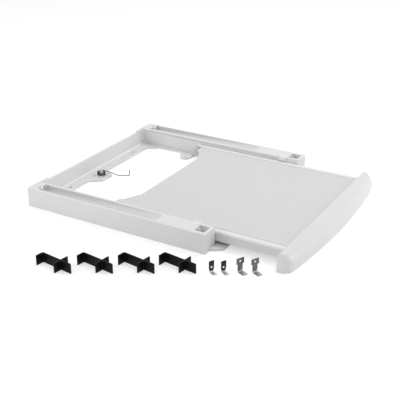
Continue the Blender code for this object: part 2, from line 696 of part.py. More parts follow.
def lap_screw_places(side):
    """Where the rear and the front panel are screwed to one rail, as (x, y)."""
    rear = (side * PAD_X, REAR_LAP_EDGE + PAD_SCREW_FROM_EDGE)
    front = (side * (FOOT_EDGE - FRONT_LAP_REACH / 2), (FRONT_LAP_FRONT + FRONT_LAP_REAR) / 2)
    return [rear, front]


def rear_panel():
    """The panel that closes the frame at the back, with the tab that carries the catch."""
    edge = CORNER_RETURN_X - SEAT_GAP / 2
    panel = prism("rear_panel", rear_profile(REAR_PANEL_HEIGHT), -edge, edge, "X")
    tab = prism("rear_panel_tab", [
        (CATCH_TAB_BASE[0], REAR_LAP_EDGE + BITE),
        (CATCH_TAB_TIP[0], REAR_LAP_EDGE - CATCH_TAB_REACH),
        (CATCH_TAB_TIP[1], REAR_LAP_EDGE - CATCH_TAB_REACH),
        (CATCH_TAB_BASE[1], REAR_LAP_EDGE + BITE),
    ], 0, FLANGE_HEIGHT, "Z")
    anchor_x = CATCH_X - CATCH_TAIL
    anchor_y = tail_y() - CATCH_WIRE_RADIUS - RUNNING_GAP
    anchor = box("rear_panel_anchor", (anchor_x, anchor_x + CATCH_ANCHOR_LENGTH),
                 (anchor_y - CATCH_ANCHOR_WIDTH, anchor_y), (FLANGE_HEIGHT - BITE,
                                                            FLANGE_HEIGHT + CATCH_ANCHOR_HEIGHT))
    fuse(panel, tab, anchor)
    for side in (-1, 1):
        x, y = lap_screw_places(side)[0]
        pad = prism(f"rear_panel_pad_{side}", [
            (x - PAD_WIDTH / 2, REAR_LAP_EDGE + BITE),
            (x + PAD_WIDTH / 2, REAR_LAP_EDGE + BITE),
            (x + PAD_WIDTH / 2, REAR_LAP_EDGE + PAD_LENGTH / 2),
            (x + PAD_WIDTH / 4, REAR_LAP_EDGE + PAD_LENGTH),
            (x - PAD_WIDTH / 4, REAR_LAP_EDGE + PAD_LENGTH),
            (x - PAD_WIDTH / 2, REAR_LAP_EDGE + PAD_LENGTH / 2),
        ], FLANGE_HEIGHT - BITE, FLANGE_HEIGHT + PAD_RISE, "Z")
        lap_room = box(f"rear_panel_lap_room_{side}", span(side, LAP_INNER - SEAT_GAP, RAIL_INNER),
                       (REAR_LAP_EDGE - OVERRUN, FRAME_DEPTH - REAR_WALL_BASE + SEAT_GAP),
                       (-OVERRUN, LAP_HEIGHT + SEAT_GAP))
        fuse(panel, pad)
        cut(panel, lap_room, rod(f"rear_panel_hole_{side}", SCREW_RADIUS + SEAT_GAP, (x, y, FLANGE_HEIGHT),
                                 4 * FLANGE_HEIGHT, "Z"))
    cut(panel, rod("rear_panel_post_hole", SCREW_RADIUS + SEAT_GAP, (CATCH_X, CATCH_Y, FLANGE_HEIGHT),
                   2 * (FLANGE_HEIGHT - WALL / 2), "Z"))
    return show(panel, FRAME_WHITE)


def front_panel():
    """The low panel that ties the rails at the front, with the lip in front of the posts."""
    edge = FOOT_EDGE - SEAT_GAP
    panel = box("front_panel", (-edge, edge), (-JOIN - SEAT_GAP, FRONT_PANEL_REAR), (0, FRONT_PANEL_HEIGHT))
    lip = prism("front_panel_lip", [
        (-LIP_TIP_X, -LIP_REACH),
        (LIP_TIP_X, -LIP_REACH),
        (LIP_BASE_X, -SEAT_GAP),
        (-LIP_BASE_X, -SEAT_GAP),
    ], 0, FRONT_PANEL_HEIGHT, "Z")
    fuse(panel, rounded(lip, EDGE_ROUND, 2))
    for side in (-1, 1):
        x, y = lap_screw_places(side)[1]
        lap_room = box(f"front_panel_lap_room_{side}",
                       span(side, FOOT_EDGE - FRONT_LAP_REACH - SEAT_GAP, RAIL_INNER),
                       (FRONT_LAP_FRONT - SEAT_GAP, FRONT_LAP_REAR + SEAT_GAP),
                       (-OVERRUN, LAP_HEIGHT + SEAT_GAP))
        cut(panel, lap_room, rod(f"front_panel_hole_{side}", SCREW_RADIUS + SEAT_GAP,
                                 (x, y, FRONT_PANEL_HEIGHT), 4 * FRONT_PANEL_HEIGHT, "Z"))
    return show(panel, FRAME_WHITE)


def frame_screws():
    """The screws that hold the panels to the rails."""
    rear_seat = FLANGE_HEIGHT + PAD_RISE + SEAT_GAP
    front_seat = FRONT_PANEL_HEIGHT + SEAT_GAP
    rear = [(*lap_screw_places(side)[0], rear_seat) for side in (-1, 1)]
    front = [(*lap_screw_places(side)[1], front_seat) for side in (-1, 1)]
    screws("rear_panel_screw", rear, AXES["Z"], rear_seat - 2 * SCREW_RECESS)
    screws("front_panel_screw", front, AXES["Z"], front_seat - 2 * SCREW_RECESS)


def runner_track(name, side):
    """The angled track that the shelf's rear roller runs on, with the stop at its front."""
    low = RAIL_INNER - FOOT_WIDTH + SEAT_GAP
    high = RAIL_INNER + SEAT_GAP + TRACK_WEB
    web = RAIL_INNER + SEAT_GAP
    bottom = FLANGE_HEIGHT + SEAT_GAP
    track = prism(name, [
        (side * low, bottom),
        (side * high, bottom),
        (side * high, TRACK_TOP),
        (side * web, TRACK_TOP),
        (side * web, TRACK_RUN),
        (side * low, TRACK_RUN),
    ], TRACK_FRONT, TRACK_REAR, "Y")
    stop_rear = REAR_ROLLER_Y - SHELF_OUT - SHELF_TRAVEL_LEFT - REAR_ROLLER_RADIUS - RUNNING_GAP
    stop = box(name + "_stop", span(side, low, web + BITE), (stop_rear - TRACK_STOP_LENGTH, stop_rear),
               (TRACK_RUN - BITE, TRACK_RUN + TRACK_STOP_HEIGHT))
    fuse(track, stop)
    for i, y in enumerate(track_screw_places()):
        cut(track, rod(f"{name}_hole_{i + 1}", SCREW_RADIUS + SEAT_GAP, (side * web, y, TRACK_SCREW_Z),
                       4 * TRACK_WEB, "X"))
        cut(track, rod(f"{name}_counterbore_{i + 1}", SCREW_HEAD_RADIUS + SEAT_GAP,
                       (side * web, y, TRACK_SCREW_Z), 2 * (SCREW_HEAD + SEAT_GAP), "X"))
    return show(track, TRACK_WHITE)


def track_screws(side_name, side):
    """The screws that hold one track, their heads sunk in its web."""
    seat = side * (RAIL_INNER + SEAT_GAP + SCREW_HEAD)
    screws(f"{side_name}_track_screw", [(seat, y, TRACK_SCREW_Z) for y in track_screw_places()],
           -side * AXES["X"], SCREW_DEPTH)


def guide_block(name, side):
    """The block in the rail's front edge that holds the shelf's rim down."""
    plain = box(name, span(side, RAIL_INNER - GUIDE_OVERHANG, RAIL_INNER + GUIDE_SEAT - SEAT_GAP),
                (GUIDE_FRONT + SEAT_GAP, GUIDE_FRONT + GUIDE_LENGTH - SEAT_GAP),
                (GUIDE_BOTTOM + SEAT_GAP, GUIDE_TOP))
    seat = rounded(plain, EDGE_ROUND, 2)
    eye = (side * RAIL_INNER, GUIDE_FRONT + GUIDE_LENGTH / 2, GUIDE_TOP)
    cut(seat, rod(name + "_eye", GUIDE_EYE_RADIUS, eye, 2 * GUIDE_EYE_DEPTH, "Z"))
    return show(seat, WHITE_ACETAL)


def roller(name, radius, width, x, y, z):
    """A moulded roller with a bore, dished sides and eased rims, turning about X."""
    bore = PIN_RADIUS + SEAT_GAP
    half = width / 2
    hub = bore + 2 * ROLLER_EDGE
    rim = radius - 2 * ROLLER_EDGE
    profile = [
        (bore, half), (hub, half), (hub + ROLLER_EDGE, half - ROLLER_DISH),
        (rim - ROLLER_EDGE, half - ROLLER_DISH), (rim, half), (radius - ROLLER_EDGE, half),
        (radius, half - ROLLER_EDGE), (radius, ROLLER_EDGE - half), (radius - ROLLER_EDGE, -half),
        (rim, -half), (rim - ROLLER_EDGE, ROLLER_DISH - half), (hub + ROLLER_EDGE, ROLLER_DISH - half),
        (hub, -half), (bore, -half),
    ]
    return show(turned(name, profile, (x, y, z), "X", ROLLER_SIDES, True), WHITE_ACETAL)


def headed_pin(name, side, head_x, end_x, y, z, finish):
    """A roller's pin, with its head towards the middle of the frame."""
    length = end_x - head_x
    profile = [
        (0, PIN_HEAD), (PIN_HEAD_RADIUS - ROLLER_EDGE, PIN_HEAD), (PIN_HEAD_RADIUS, PIN_HEAD - ROLLER_EDGE),
        (PIN_HEAD_RADIUS, 0), (PIN_RADIUS, 0), (PIN_RADIUS, ROLLER_EDGE - length),
        (PIN_RADIUS - ROLLER_EDGE, -length), (0, -length),
    ]
    pin = turned(name, profile, (side * head_x, y, z), "X", PIN_SIDES, False)
    pin.rotation_euler = (0, -side * math.pi / 2, 0)
    return show(pin, finish)


def front_roller_set(side_name, side):
    """The roller in the rail's foot that carries the shelf's lip, on its pin."""
    outer = ROLLER_OUTER
    inner = outer - FRONT_ROLLER_WIDTH
    wheel = roller(f"{side_name}_front_roller", FRONT_ROLLER_RADIUS, FRONT_ROLLER_WIDTH,
                   side * (inner + outer) / 2, FRONT_ROLLER_Y, FRONT_ROLLER_Z)
    headed_pin(f"{side_name}_front_roller_pin", side, inner - SEAT_GAP,
               RAIL_INNER + front_pin_bite() - SEAT_GAP, FRONT_ROLLER_Y, FRONT_ROLLER_Z, ZINC)
    return wheel


def shelf_side_profile(side):
    """Cross-section of the shelf's side, as (x, z): apron with its lip, top band, channel, ridge, slope."""
    edge = SHELF_EDGE
    band = edge - SHELF_BAND
    channel = band - SHELF_CHANNEL
    ridge = channel - SHELF_RIDGE
    slope = ridge - SHELF_SLOPE
    ease = SHELF_RIM_ROUND / 2
    points = [
        (edge, SHELF_APRON_BOTTOM),
        (edge, SHELF_RIM - SHELF_RIM_ROUND),
        (edge - SHELF_RIM_ROUND, SHELF_RIM),
        (band, SHELF_RIM),
        (band - ease, SHELF_RIM - SHELF_CHANNEL_DEPTH),
        (channel + ease, SHELF_RIM - SHELF_CHANNEL_DEPTH),
        (channel, SHELF_RIM),
        (ridge, SHELF_RIM),
        (slope, SHELF_TOP),
        (slope - EDGE_ROUND, SHELF_TOP - BITE),
        (slope - EDGE_ROUND, SHELF_UNDER + BITE),
        (slope, SHELF_UNDER),
        (edge - SHELF_APRON, SHELF_UNDER),
        (edge - SHELF_APRON, SHELF_APRON_BOTTOM + SHELF_APRON),
        (edge - SHELF_APRON_LIP, SHELF_APRON_BOTTOM + SHELF_APRON),
        (edge - SHELF_APRON_LIP, SHELF_APRON_BOTTOM),
    ]
    return [(side * x, z) for x, z in points]


def cheek(name, side):
    """The arm behind the shelf's ear that holds the rear roller's pin."""
    steps = 8
    nose = [(REAR_ROLLER_Y + CHEEK_RADIUS * math.sin(math.pi * i / steps),
             REAR_ROLLER_Z + CHEEK_RADIUS * math.cos(math.pi * i / steps)) for i in range(steps + 1)]
    root = REAR_ROLLER_Y - CHEEK_ROOT
    outline = [(root, SHELF_UNDER + BITE)] + nose + [(root, SHELF_APRON_BOTTOM + SHELF_APRON - BITE)]
    return prism(name, outline, *span(side, CHEEK_OUTER - CHEEK, CHEEK_OUTER), "X")


def shelf_board():
    """The shelf as one moulding: board, sides, front wall, ribs and roller cheeks."""
    inner = SHELF_EDGE - SHELF_BAND
    board = prism("shelf_board", [
        (-inner, SHELF_FRONT), (inner, SHELF_FRONT), (inner, SHELF_EAR_ROOM),
        (SHELF_EAR_X, SHELF_EAR_STEP), (SHELF_STEP_X, SHELF_REAR_MIDDLE),
        (-SHELF_STEP_X, SHELF_REAR_MIDDLE), (-SHELF_EAR_X, SHELF_EAR_STEP), (-inner, SHELF_EAR_ROOM),
    ], SHELF_UNDER, SHELF_TOP, "Z")
    rib_bottom = SHELF_UNDER - SHELF_RIB_DEPTH
    rib_top = SHELF_UNDER + BITE
    apron_x = SHELF_EDGE - SHELF_APRON + BITE
    last_rib = SHELF_RIB_Y[-1]
    for side, label in ((-1, "left"), (1, "right")):
        fuse(board, prism(f"shelf_side_{label}", shelf_side_profile(side),
                          SHELF_FRONT, SHELF_REAR_EAR, "Y"))
        fuse(board, cheek(f"shelf_cheek_{label}", side))
        for i, x in enumerate(SHELF_RIB_X):
            fuse(board, box(f"shelf_long_rib_{label}_{i}", span(side, x - RIB / 2, x + RIB / 2),
                            (SHELF_FRONT + BITE, last_rib + RIB / 2), (rib_bottom, rib_top)))
    for i, y in enumerate(SHELF_RIB_Y):
        fuse(board, box(f"shelf_cross_rib_{i}", (-apron_x, apron_x), (y - RIB / 2, y + RIB / 2),
                        (rib_bottom, rib_top)))
    fuse(board, box("shelf_front_wall", (-apron_x, apron_x), (SHELF_FRONT, SHELF_FRONT + SHELF_WALL),
                    (SHELF_APRON_BOTTOM, rib_top)))
    for i, x in enumerate(BOSS_X):
        cut(board, rod(f"shelf_screw_hole_{i}", SCREW_RADIUS + SEAT_GAP, (x, SHELF_FRONT, BOSS_Z),
                       4 * SHELF_WALL, "Y"))
    wheel_reach = REAR_ROLLER_RADIUS + RUNNING_GAP
    for side in (-1, 1):
        cut(board, box(f"shelf_ear_room_{side}", span(side, SHELF_EAR_X - SHELF_SLOPE, CHEEK_OUTER - CHEEK),
                       (SHELF_EAR_ROOM, SHELF_REAR_EAR + OVERRUN), (0, FRAME_HEIGHT)))
        cut(board, box(f"shelf_wheel_room_{side}", span(side, CHEEK_OUTER, RAIL_INNER),
                       (REAR_ROLLER_Y - wheel_reach, REAR_ROLLER_Y + wheel_reach),
                       (REAR_ROLLER_Z - wheel_reach, REAR_ROLLER_Z + wheel_reach)))
        cut(board, rod(f"shelf_pin_hole_{side}", PIN_RADIUS + SEAT_GAP,
                       (side * CHEEK_OUTER, REAR_ROLLER_Y, REAR_ROLLER_Z), 4 * CHEEK, "X"))
    for i, (x, y) in enumerate(catch_track_screw_places()):
        cut(board, rod(f"shelf_catch_hole_{i}", SCREW_RADIUS + SEAT_GAP, (x, y, SHELF_UNDER),
                       2 * (SHELF_SHEET - SCREW_RECESS), "Z"))
    return show(board, SHELF_WHITE)


def rear_roller_set(side_name, side):
    """The roller behind the shelf's ear, outside its cheek, on its pin."""
    outer = ROLLER_OUTER
    inner = outer - REAR_ROLLER_WIDTH
    wheel = roller(f"{side_name}_rear_roller", REAR_ROLLER_RADIUS, REAR_ROLLER_WIDTH,
                   side * (inner + outer) / 2, REAR_ROLLER_Y, REAR_ROLLER_Z)
    pin = headed_pin(f"{side_name}_rear_roller_pin", side, CHEEK_OUTER - CHEEK - SEAT_GAP, outer,
                     REAR_ROLLER_Y, REAR_ROLLER_Z, ZINC)
    return wheel, pin


def cover_outline(half, depth, radius, rear, rear_round):
    """Plan of the front cover at one height: straight rear edge, round corners, bowed front."""
    bow_angle = COVER_BOW_ANGLE
    meet_x = half - radius + radius * math.sin(bow_angle)
    bow = math.tan(bow_angle) / (2 * meet_x)
    meet_y = -depth + bow * meet_x ** 2
    corner_y = min(meet_y + radius * math.cos(bow_angle), rear - rear_round)
    right = arc((half - rear_round, rear - rear_round), rear_round, 90, 0, COVER_REAR_STEPS)
    right += arc((half - radius, corner_y), radius, 0, math.degrees(bow_angle) - 90, COVER_CORNER_STEPS)
    stations = [meet_x * (1 - 2 * i / COVER_BOW_STEPS) for i in range(1, COVER_BOW_STEPS)]
    return right + [(x, -depth + bow * x ** 2) for x in stations] + [(-x, y) for x, y in reversed(right)]


def cover_levels(bottom):
    """Heights of the cover's cross-section, each with its lean at the front."""
    levels = [(bottom, COVER_FOOT_ROUND / 2), (bottom + COVER_FOOT_ROUND, 0)]
    rise = COVER_RIDGE - COVER_SHOULDER
    for i in range(COVER_LEAN_STEPS + 1):
        angle = math.pi / 2 * i / COVER_LEAN_STEPS
        levels.append((COVER_SHOULDER + rise * math.sin(angle), COVER_LEAN * (1 - math.cos(angle))))
    return levels


def cover_shape(name, inset, bottom, rear):
    """Loft of the cover's outlines from foot to ridge, then cut on a slope behind the ridge."""
    shape = bmesh.new()
    rings = []
    for height, lean in cover_levels(bottom):
        half = COVER_WIDTH / 2 - inset - lean * COVER_END_LEAN / COVER_LEAN
        radius = COVER_CORNER - inset - lean * COVER_CORNER_LOSS_SHARE
        z = height if height < COVER_SHOULDER else height - inset
        outline = cover_outline(half, COVER_DEPTH - inset - lean, radius, rear, COVER_REAR_ROUND - inset)
        rings.append([shape.verts.new((x, y, z)) for x, y in outline])
    count = len(rings[0])
    for low, high in zip(rings, rings[1:]):
        for i in range(count):
            j = (i + 1) % count
            shape.faces.new((low[i], low[j], high[j], high[i]))
    shape.faces.new(rings[0])
    shape.faces.new(rings[-1])
    bmesh.ops.recalc_face_normals(shape, faces=shape.faces)
    mesh = bpy.data.meshes.new(name)
    shape.to_mesh(mesh)
    shape.free()
    cover = bpy.data.objects.new(name, mesh)
    ridge_y = rear - COVER_RIDGE_BACK
    slope = prism(name + "_slope", [
        (rear + OVERRUN, COVER_REAR_TOP - inset - OVERRUN * COVER_SLOPE_SHARE),
        (rear + OVERRUN, COVER_RIDGE + OVERRUN),
        (ridge_y - OVERRUN, COVER_RIDGE + OVERRUN),
        (ridge_y, COVER_RIDGE - inset + WELD),
        (ridge_y + COVER_RIDGE_BACK / 3, COVER_RIDGE - inset - COVER_RIDGE_EASE),
    ], -COVER_WIDTH, COVER_WIDTH, "X")
    cut(cover, slope)
    return cover


def front_cover():
    """The bowed cover on the shelf's front: a shell, open below and at the rear for the fingers."""
    rear = SHELF_FRONT - SEAT_GAP
    cover = cover_shape("front_cover", 0, COVER_BOTTOM, rear)
    hollow = cover_shape("front_cover_hollow", COVER_WALL, COVER_BOTTOM - OVERRUN, rear - COVER_WALL)
    inside = SHELF_EDGE - SHELF_APRON
    rear_room = box("front_cover_rear_room", (-inside, inside), (rear - 2 * COVER_WALL, rear + OVERRUN),
                    (COVER_BOTTOM - OVERRUN, COVER_REAR_TOP - COVER_WALL))
    end_inside = COVER_WIDTH / 2 - COVER_WALL
    lip_room = box("front_cover_lip_room", (-end_inside, end_inside),
                   (rear - 2 * COVER_WALL, rear + OVERRUN), (COVER_BOTTOM - OVERRUN, COVER_LIP_ROOM))
    cut(cover, hollow, rear_room, lip_room)
    for i, x in enumerate(BOSS_X):
        reach = COVER_DEPTH - COVER_WALL / 2 - math.tan(COVER_BOW_ANGLE) * x ** 2 / COVER_WIDTH
        boss = box(f"front_cover_boss_{i}", (x - BOSS_SIZE / 2, x + BOSS_SIZE / 2),
                   (rear - reach + COVER_LEAN * BOSS_LEAN_SHARE, rear),
                   (BOSS_Z - BOSS_SIZE / 2, BOSS_Z + BOSS_SIZE / 2))
        fuse(cover, boss)
        cut(cover, rod(f"front_cover_boss_hole_{i}", SCREW_RADIUS + SEAT_GAP, (x, rear, BOSS_Z),
                       2 * (SCREW_DEPTH + SEAT_GAP), "Y"))
    return show(cover, COVER_WHITE)


def cover_screws():
    """The screws from inside the shelf's front wall into the cover's bosses."""
    seat = SHELF_FRONT + SHELF_WALL + SEAT_GAP
    return screws("cover_screw", [(x, seat, BOSS_Z) for x in BOSS_X], AXES["Y"], SHELF_WALL + SCREW_DEPTH)


def tail_y():
    """Where the catch spring's straight tail lies, along X behind the coil's middle."""
    return CATCH_Y + CATCH_COIL_RADIUS


def catch_wire_points():
    """The spring wire from its tail round the coil, along the arm and up the tip."""
    low = FLANGE_HEIGHT + SEAT_GAP + CATCH_WIRE_RADIUS
    steps = round(CATCH_TURNS * CATCH_CURL_POINTS)
    points = [Vector((CATCH_X - part, tail_y(), low)) for part in (CATCH_TAIL, CATCH_TAIL / 3)]
    for i in range(steps + 1):
        turn = CATCH_TURNS * i / steps
        angle = math.pi / 2 - 2 * math.pi * turn
        points.append(Vector((CATCH_X + CATCH_COIL_RADIUS * math.cos(angle),
                              CATCH_Y + CATCH_COIL_RADIUS * math.sin(angle), low + CATCH_PITCH * turn)))
    knee = Vector((*CATCH_KNEE, CATCH_ARM_Z))
    elbow = Vector((*CATCH_ELBOW, CATCH_ARM_Z))
    tip = Vector((*CATCH_TIP, CATCH_ARM_Z))
    along = (tip - elbow).normalized()
    points += [knee, elbow - (elbow - knee).normalized() * CATCH_BEND, elbow + along * CATCH_BEND]
    for i in range(4):
        angle = math.pi / 2 * i / 3
        points.append(tip - along * CATCH_BEND * (1 - math.sin(angle))
                      + AXES["Z"] * CATCH_BEND * (1 - math.cos(angle)))
    points.append(Vector((*CATCH_TIP, CATCH_TIP_TOP)))
    return points


def least_gap(points, radius, apart):
    """Least free distance between stretches of the wire that are not neighbours."""
    least = math.inf
    for i, first in enumerate(points):
        for second in points[i + apart:]:
            least = min(least, (first - second).length - 2 * radius)
    return least


def catch_spring():
    """One wire: coil round the post, arm and upturned tip. It turns about the post."""
    points = catch_wire_points()
    centre = Vector((CATCH_X, CATCH_Y, 0))
    curve = bpy.data.curves.new("catch_spring", "CURVE")
    curve.dimensions = "3D"
    curve.bevel_depth = CATCH_WIRE_RADIUS
    curve.bevel_resolution = 1
    curve.use_fill_caps = True
    spline = curve.splines.new("POLY")
    spline.points.add(len(points) - 1)
    for point, place in zip(spline.points, points):
        point.co = (*(place - centre), 1)
    print("catch spring, least gap to itself in mm:",
          round(1000 * least_gap(points[2:-8], CATCH_WIRE_RADIUS, CATCH_CURL_POINTS // 2), 2))
    wire = bpy.data.objects.new("catch_spring", curve)
    wire.location = centre
    return show(wire, SPRING_STEEL)


def catch_post():
    """The post in the coil, with a bore for its screw."""
    bore = SCREW_RADIUS + SEAT_GAP
    base = FLANGE_HEIGHT + SEAT_GAP
    profile = [
        (bore, CATCH_POST_HEIGHT), (CATCH_POST_RADIUS - ROLLER_EDGE, CATCH_POST_HEIGHT),
        (CATCH_POST_RADIUS, CATCH_POST_HEIGHT - ROLLER_EDGE), (CATCH_POST_RADIUS, CATCH_POST_COLLAR_HEIGHT),
        (CATCH_POST_COLLAR, CATCH_POST_COLLAR_HEIGHT), (CATCH_POST_COLLAR, 0), (bore, 0),
    ]
    show(turned("catch_post", profile, (CATCH_X, CATCH_Y, base), "Z", POST_SIDES, True), WHITE_ACETAL)
    seat = base + CATCH_POST_HEIGHT + SEAT_GAP
    screws("catch_post_screw", [(CATCH_X, CATCH_Y, seat)], AXES["Z"], seat - WALL / 2 - SEAT_GAP)


def catch_track_screw_places():
    """The two screws of the catch track, shut, as (x, y)."""
    x = CATCH_TIP[0] + CATCH_LANE / 2 + CATCH_TRACK_WALL + CATCH_TRACK_EAR / 2
    return [(x, CATCH_TRACK_FRONT + CATCH_TRACK_EAR / 2),
            (x, CATCH_TRACK_FRONT + CATCH_TRACK_LENGTH - CATCH_TRACK_EAR / 2)]


def catch_track():
    """The track under the shelf: two lanes round an island, behind which the wire's tip rests."""
    top = SHELF_UNDER - SEAT_GAP
    under = top - CATCH_TRACK_BASE
    bottom = under - CATCH_TRACK_DEPTH
    near = CATCH_TIP[0] + CATCH_LANE / 2
    island_high = CATCH_TIP[0] - CATCH_LANE / 2
    island_low = island_high - CATCH_ISLAND
    far = island_low - CATCH_FAR_LANE
    front = CATCH_TRACK_FRONT
    rear = front + CATCH_TRACK_LENGTH
    base_x = (far - CATCH_TRACK_WALL, near + CATCH_TRACK_WALL + CATCH_TRACK_EAR)
    base = box("catch_track", base_x, (front, rear), (under, top))
    wall_z = (bottom, under + BITE)
    near_wall = box("catch_track_near_wall", (near, near + CATCH_TRACK_WALL), (front, rear), wall_z)
    far_wall = box("catch_track_far_wall", (far - CATCH_TRACK_WALL, far), (front, rear), wall_z)
    end_wall = box("catch_track_end_wall", (far - BITE, near + BITE),
                   (front, front + CATCH_TRACK_WALL), wall_z)
    island_front = CATCH_TIP[1] + CATCH_ISLAND_BEHIND_TIP
    island_rear = island_front + CATCH_ISLAND_LENGTH
    middle = (island_low + island_high) / 2
    notch = CATCH_ISLAND / 4
    island = prism("catch_track_island", [
        (middle, island_front + notch),
        (island_high, island_front), (island_high, island_front + CATCH_ISLAND),
        (middle, island_rear), (island_low, island_front + CATCH_ISLAND), (island_low, island_front),
    ], *wall_z, "Z")
    fuse(base, near_wall, far_wall, end_wall, island)
    for i, (x, y) in enumerate(catch_track_screw_places()):
        cut(base, rod(f"catch_track_hole_{i}", SCREW_RADIUS + SEAT_GAP, (x, y, under),
                      4 * CATCH_TRACK_BASE, "Z"))
    return show(base, WHITE_ACETAL)


def catch_track_screws():
    seat = SHELF_UNDER - CATCH_TRACK_BASE - 2 * SEAT_GAP
    return screws("catch_track_screw", [(x, y, seat) for x, y in catch_track_screw_places()], -AXES["Z"],
                  SHELF_TOP - 2 * SCREW_RECESS - seat)


def bracket_mesh():
    """Plan of a bracket: bar with a hooked rear end, and a plate across it."""
    half = BRACKET_SHEET / 2
    inner = BRACKET_CORNER - BRACKET_SHEET
    corner = (half - BRACKET_CORNER, BRACKET_REAR_ARM - BRACKET_CORNER)
    outline = [(-half, -BRACKET_FRONT_ARM), (half, -BRACKET_FRONT_ARM)]
    outline += arc(corner, BRACKET_CORNER, 0, 90, 5)
    hook_tip = half - BRACKET_HOOK
    outline += [(hook_tip, BRACKET_REAR_ARM), (hook_tip, BRACKET_REAR_ARM - BRACKET_SHEET)]
    outline += arc(corner, inner, 90, 0, 4)
    bar = prism("bracket", outline, 0, BRACKET_HEIGHT, "Z")
    across = box("bracket_cross", (-BRACKET_CROSS / 2, BRACKET_CROSS / 2), (-half, half),
                 (0, BRACKET_HEIGHT))
    fuse(bar, across)
    return kept_mesh(bar)


def brackets():
    mesh = bracket_mesh()
    for i in range(BRACKET_COUNT):
        bracket = bpy.data.objects.new(f"plastic_bracket_{i + 1}", mesh)
        bracket.location = [first + i * step for first, step in zip(BRACKET_FIRST, BRACKET_STEP)] + [0]
        bracket.rotation_euler = (0, 0, BRACKET_TURN)
        show(bracket, BRACKET_BLACK)


def clip_mesh(name, plate, neck, plate_height, height, foot, hole_up):
    """A strip bent at its foot, with a wider plate on top and a screw hole in the plate."""
    inner = CLIP_BEND
    outer = CLIP_BEND + CLIP_SHEET
    bend = (-inner, outer)
    outline = [(-foot, 0), (-inner, 0)]
    outline += arc(bend, outer, -90, 0, 5)[1:]
    outline += [(CLIP_SHEET, height), (0, height)]
    outline += arc(bend, inner, 0, -90, 5)
    outline += [(-foot, CLIP_SHEET)]
    strip = prism(name, outline, -plate / 2, plate / 2, "X")
    plate_bottom = height - plate_height
    for side in (-1, 1):
        cut(strip, box(f"{name}_neck_{side}", span(side, neck / 2, plate),
                       (-foot - OVERRUN, outer + OVERRUN), (-OVERRUN, plate_bottom)))
    cut(strip, rod(f"{name}_hole", CLIP_HOLE_RADIUS, (0, 0, plate_bottom + hole_up), 4 * outer, "Y"))
    return kept_mesh(strip)


def clips():
    short = clip_mesh("short_clip", SHORT_CLIP_PLATE, SHORT_CLIP_NECK, SHORT_CLIP_PLATE_HEIGHT,
                      SHORT_CLIP_HEIGHT, SHORT_CLIP_FOOT, SHORT_CLIP_HOLE_UP)
    long = clip_mesh("long_clip", LONG_CLIP_PLATE, LONG_CLIP_NECK, LONG_CLIP_PLATE_HEIGHT,
                     LONG_CLIP_HEIGHT, LONG_CLIP_FOOT, LONG_CLIP_HOLE_UP)
    kinds = (("short_steel_clip", short, SHORT_CLIP_PLACES, CLIP_DARK),
             ("long_steel_clip", long, LONG_CLIP_PLACES, CLIP_GREY))
    for label, mesh, places, finish in kinds:
        for i, (x, y) in enumerate(places):
            clip = bpy.data.objects.new(f"{label}_{i + 1}", mesh)
            clip.location = (x, y, 0)
            clip.rotation_euler = (0, 0, CLIP_TURN)
            show(clip, finish)


def build():
    for side_name, side in (("left", -1), ("right", 1)):
        side_rail(f"{side_name}_side_rail", side)
        runner_track(f"{side_name}_runner_track", side)
        track_screws(side_name, side)
        guide_block(f"{side_name}_guide_block", side)
        front_roller_set(side_name, side)
    rear_panel()
    front_panel()
    frame_screws()
    catch_post()
    catch_spring()

    carriage = bpy.data.objects.new("shelf_carriage", None)
    PARTS.objects.link(carriage)
    carriage.location = (0, -SHELF_OUT, 0)
    carry(carriage, shelf_board(), front_cover(), *cover_screws(), catch_track(), *catch_track_screws())
    for side_name, side in (("left", -1), ("right", 1)):
        carry(carriage, *rear_roller_set(side_name, side))

    brackets()
    clips()


build()
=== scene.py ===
"""Looks of the washer dryer stacking kit: edges, screws, wire, finishes, light and camera."""

import json
import math

import bmesh
import bpy
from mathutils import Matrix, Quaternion, Vector
from mathutils.geometry import intersect_line_line_2d


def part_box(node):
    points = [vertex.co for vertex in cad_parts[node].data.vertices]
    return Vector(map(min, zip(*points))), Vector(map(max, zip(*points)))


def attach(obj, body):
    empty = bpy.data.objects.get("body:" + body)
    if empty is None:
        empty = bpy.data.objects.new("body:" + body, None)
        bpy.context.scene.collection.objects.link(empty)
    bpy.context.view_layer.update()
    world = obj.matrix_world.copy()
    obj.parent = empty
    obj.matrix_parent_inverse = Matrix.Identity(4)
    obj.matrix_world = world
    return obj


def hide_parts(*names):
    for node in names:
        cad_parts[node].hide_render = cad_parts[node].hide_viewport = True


MM = 0.001

# Camera, fitted to the frame's straight edges in the photograph
IMAGE_SIZE = 400
FOCAL_PIXELS = 821.23
SENSOR_WIDTH = 36.0
CAMERA_PLACE = (-1.8178, -0.8625, 0.9546)
CAMERA_LOOK = (0.786, 0.454, -0.420)
CAMERA_ROLL = 0.0029

# Light from all round, and the white that shows behind the object
ROOM_LIGHT = 0.65
BACKGROUND = 1.0
WHITE = "FFFFFF"

# Soft lamps, each with its place, size and power
LAMP_AIM = (0.0, 0.15, 0.02)
LAMPS = {
    "left": ((-2.8, 2.4, 1.2), 1.8, 30.0),
    "right": ((1.3, -2.9, 0.9), 1.4, 16.0),
    "top": ((0.9, -0.5, 2.4), 1.2, 20.0),
}

# Floor, a hair below the object, with the tone that lights it and the tone that shows
FLOOR_HALF = 7.0
FLOOR_DROP = 0.1 * MM
FLOOR_TONE = "F2F2F2"
FLOOR_SEEN_TONE = "C8C8C8"
FLOOR_GLOW = 0.55

# Moulded plastic: clouds of flow in its colour, and the grain of the mould
CLOUD_SIZE = 110 * MM
CLOUD_DETAIL = 3.0
GRAIN_DETAIL = 2.0
GRAIN_STRENGTH = 0.3
GRAIN_SMOOTHEST, GRAIN_ROUGHEST = -0.05, 0.07
MOULDED_IOR = 1.53
MOULDED_COAT_ROUGHNESS = 0.22

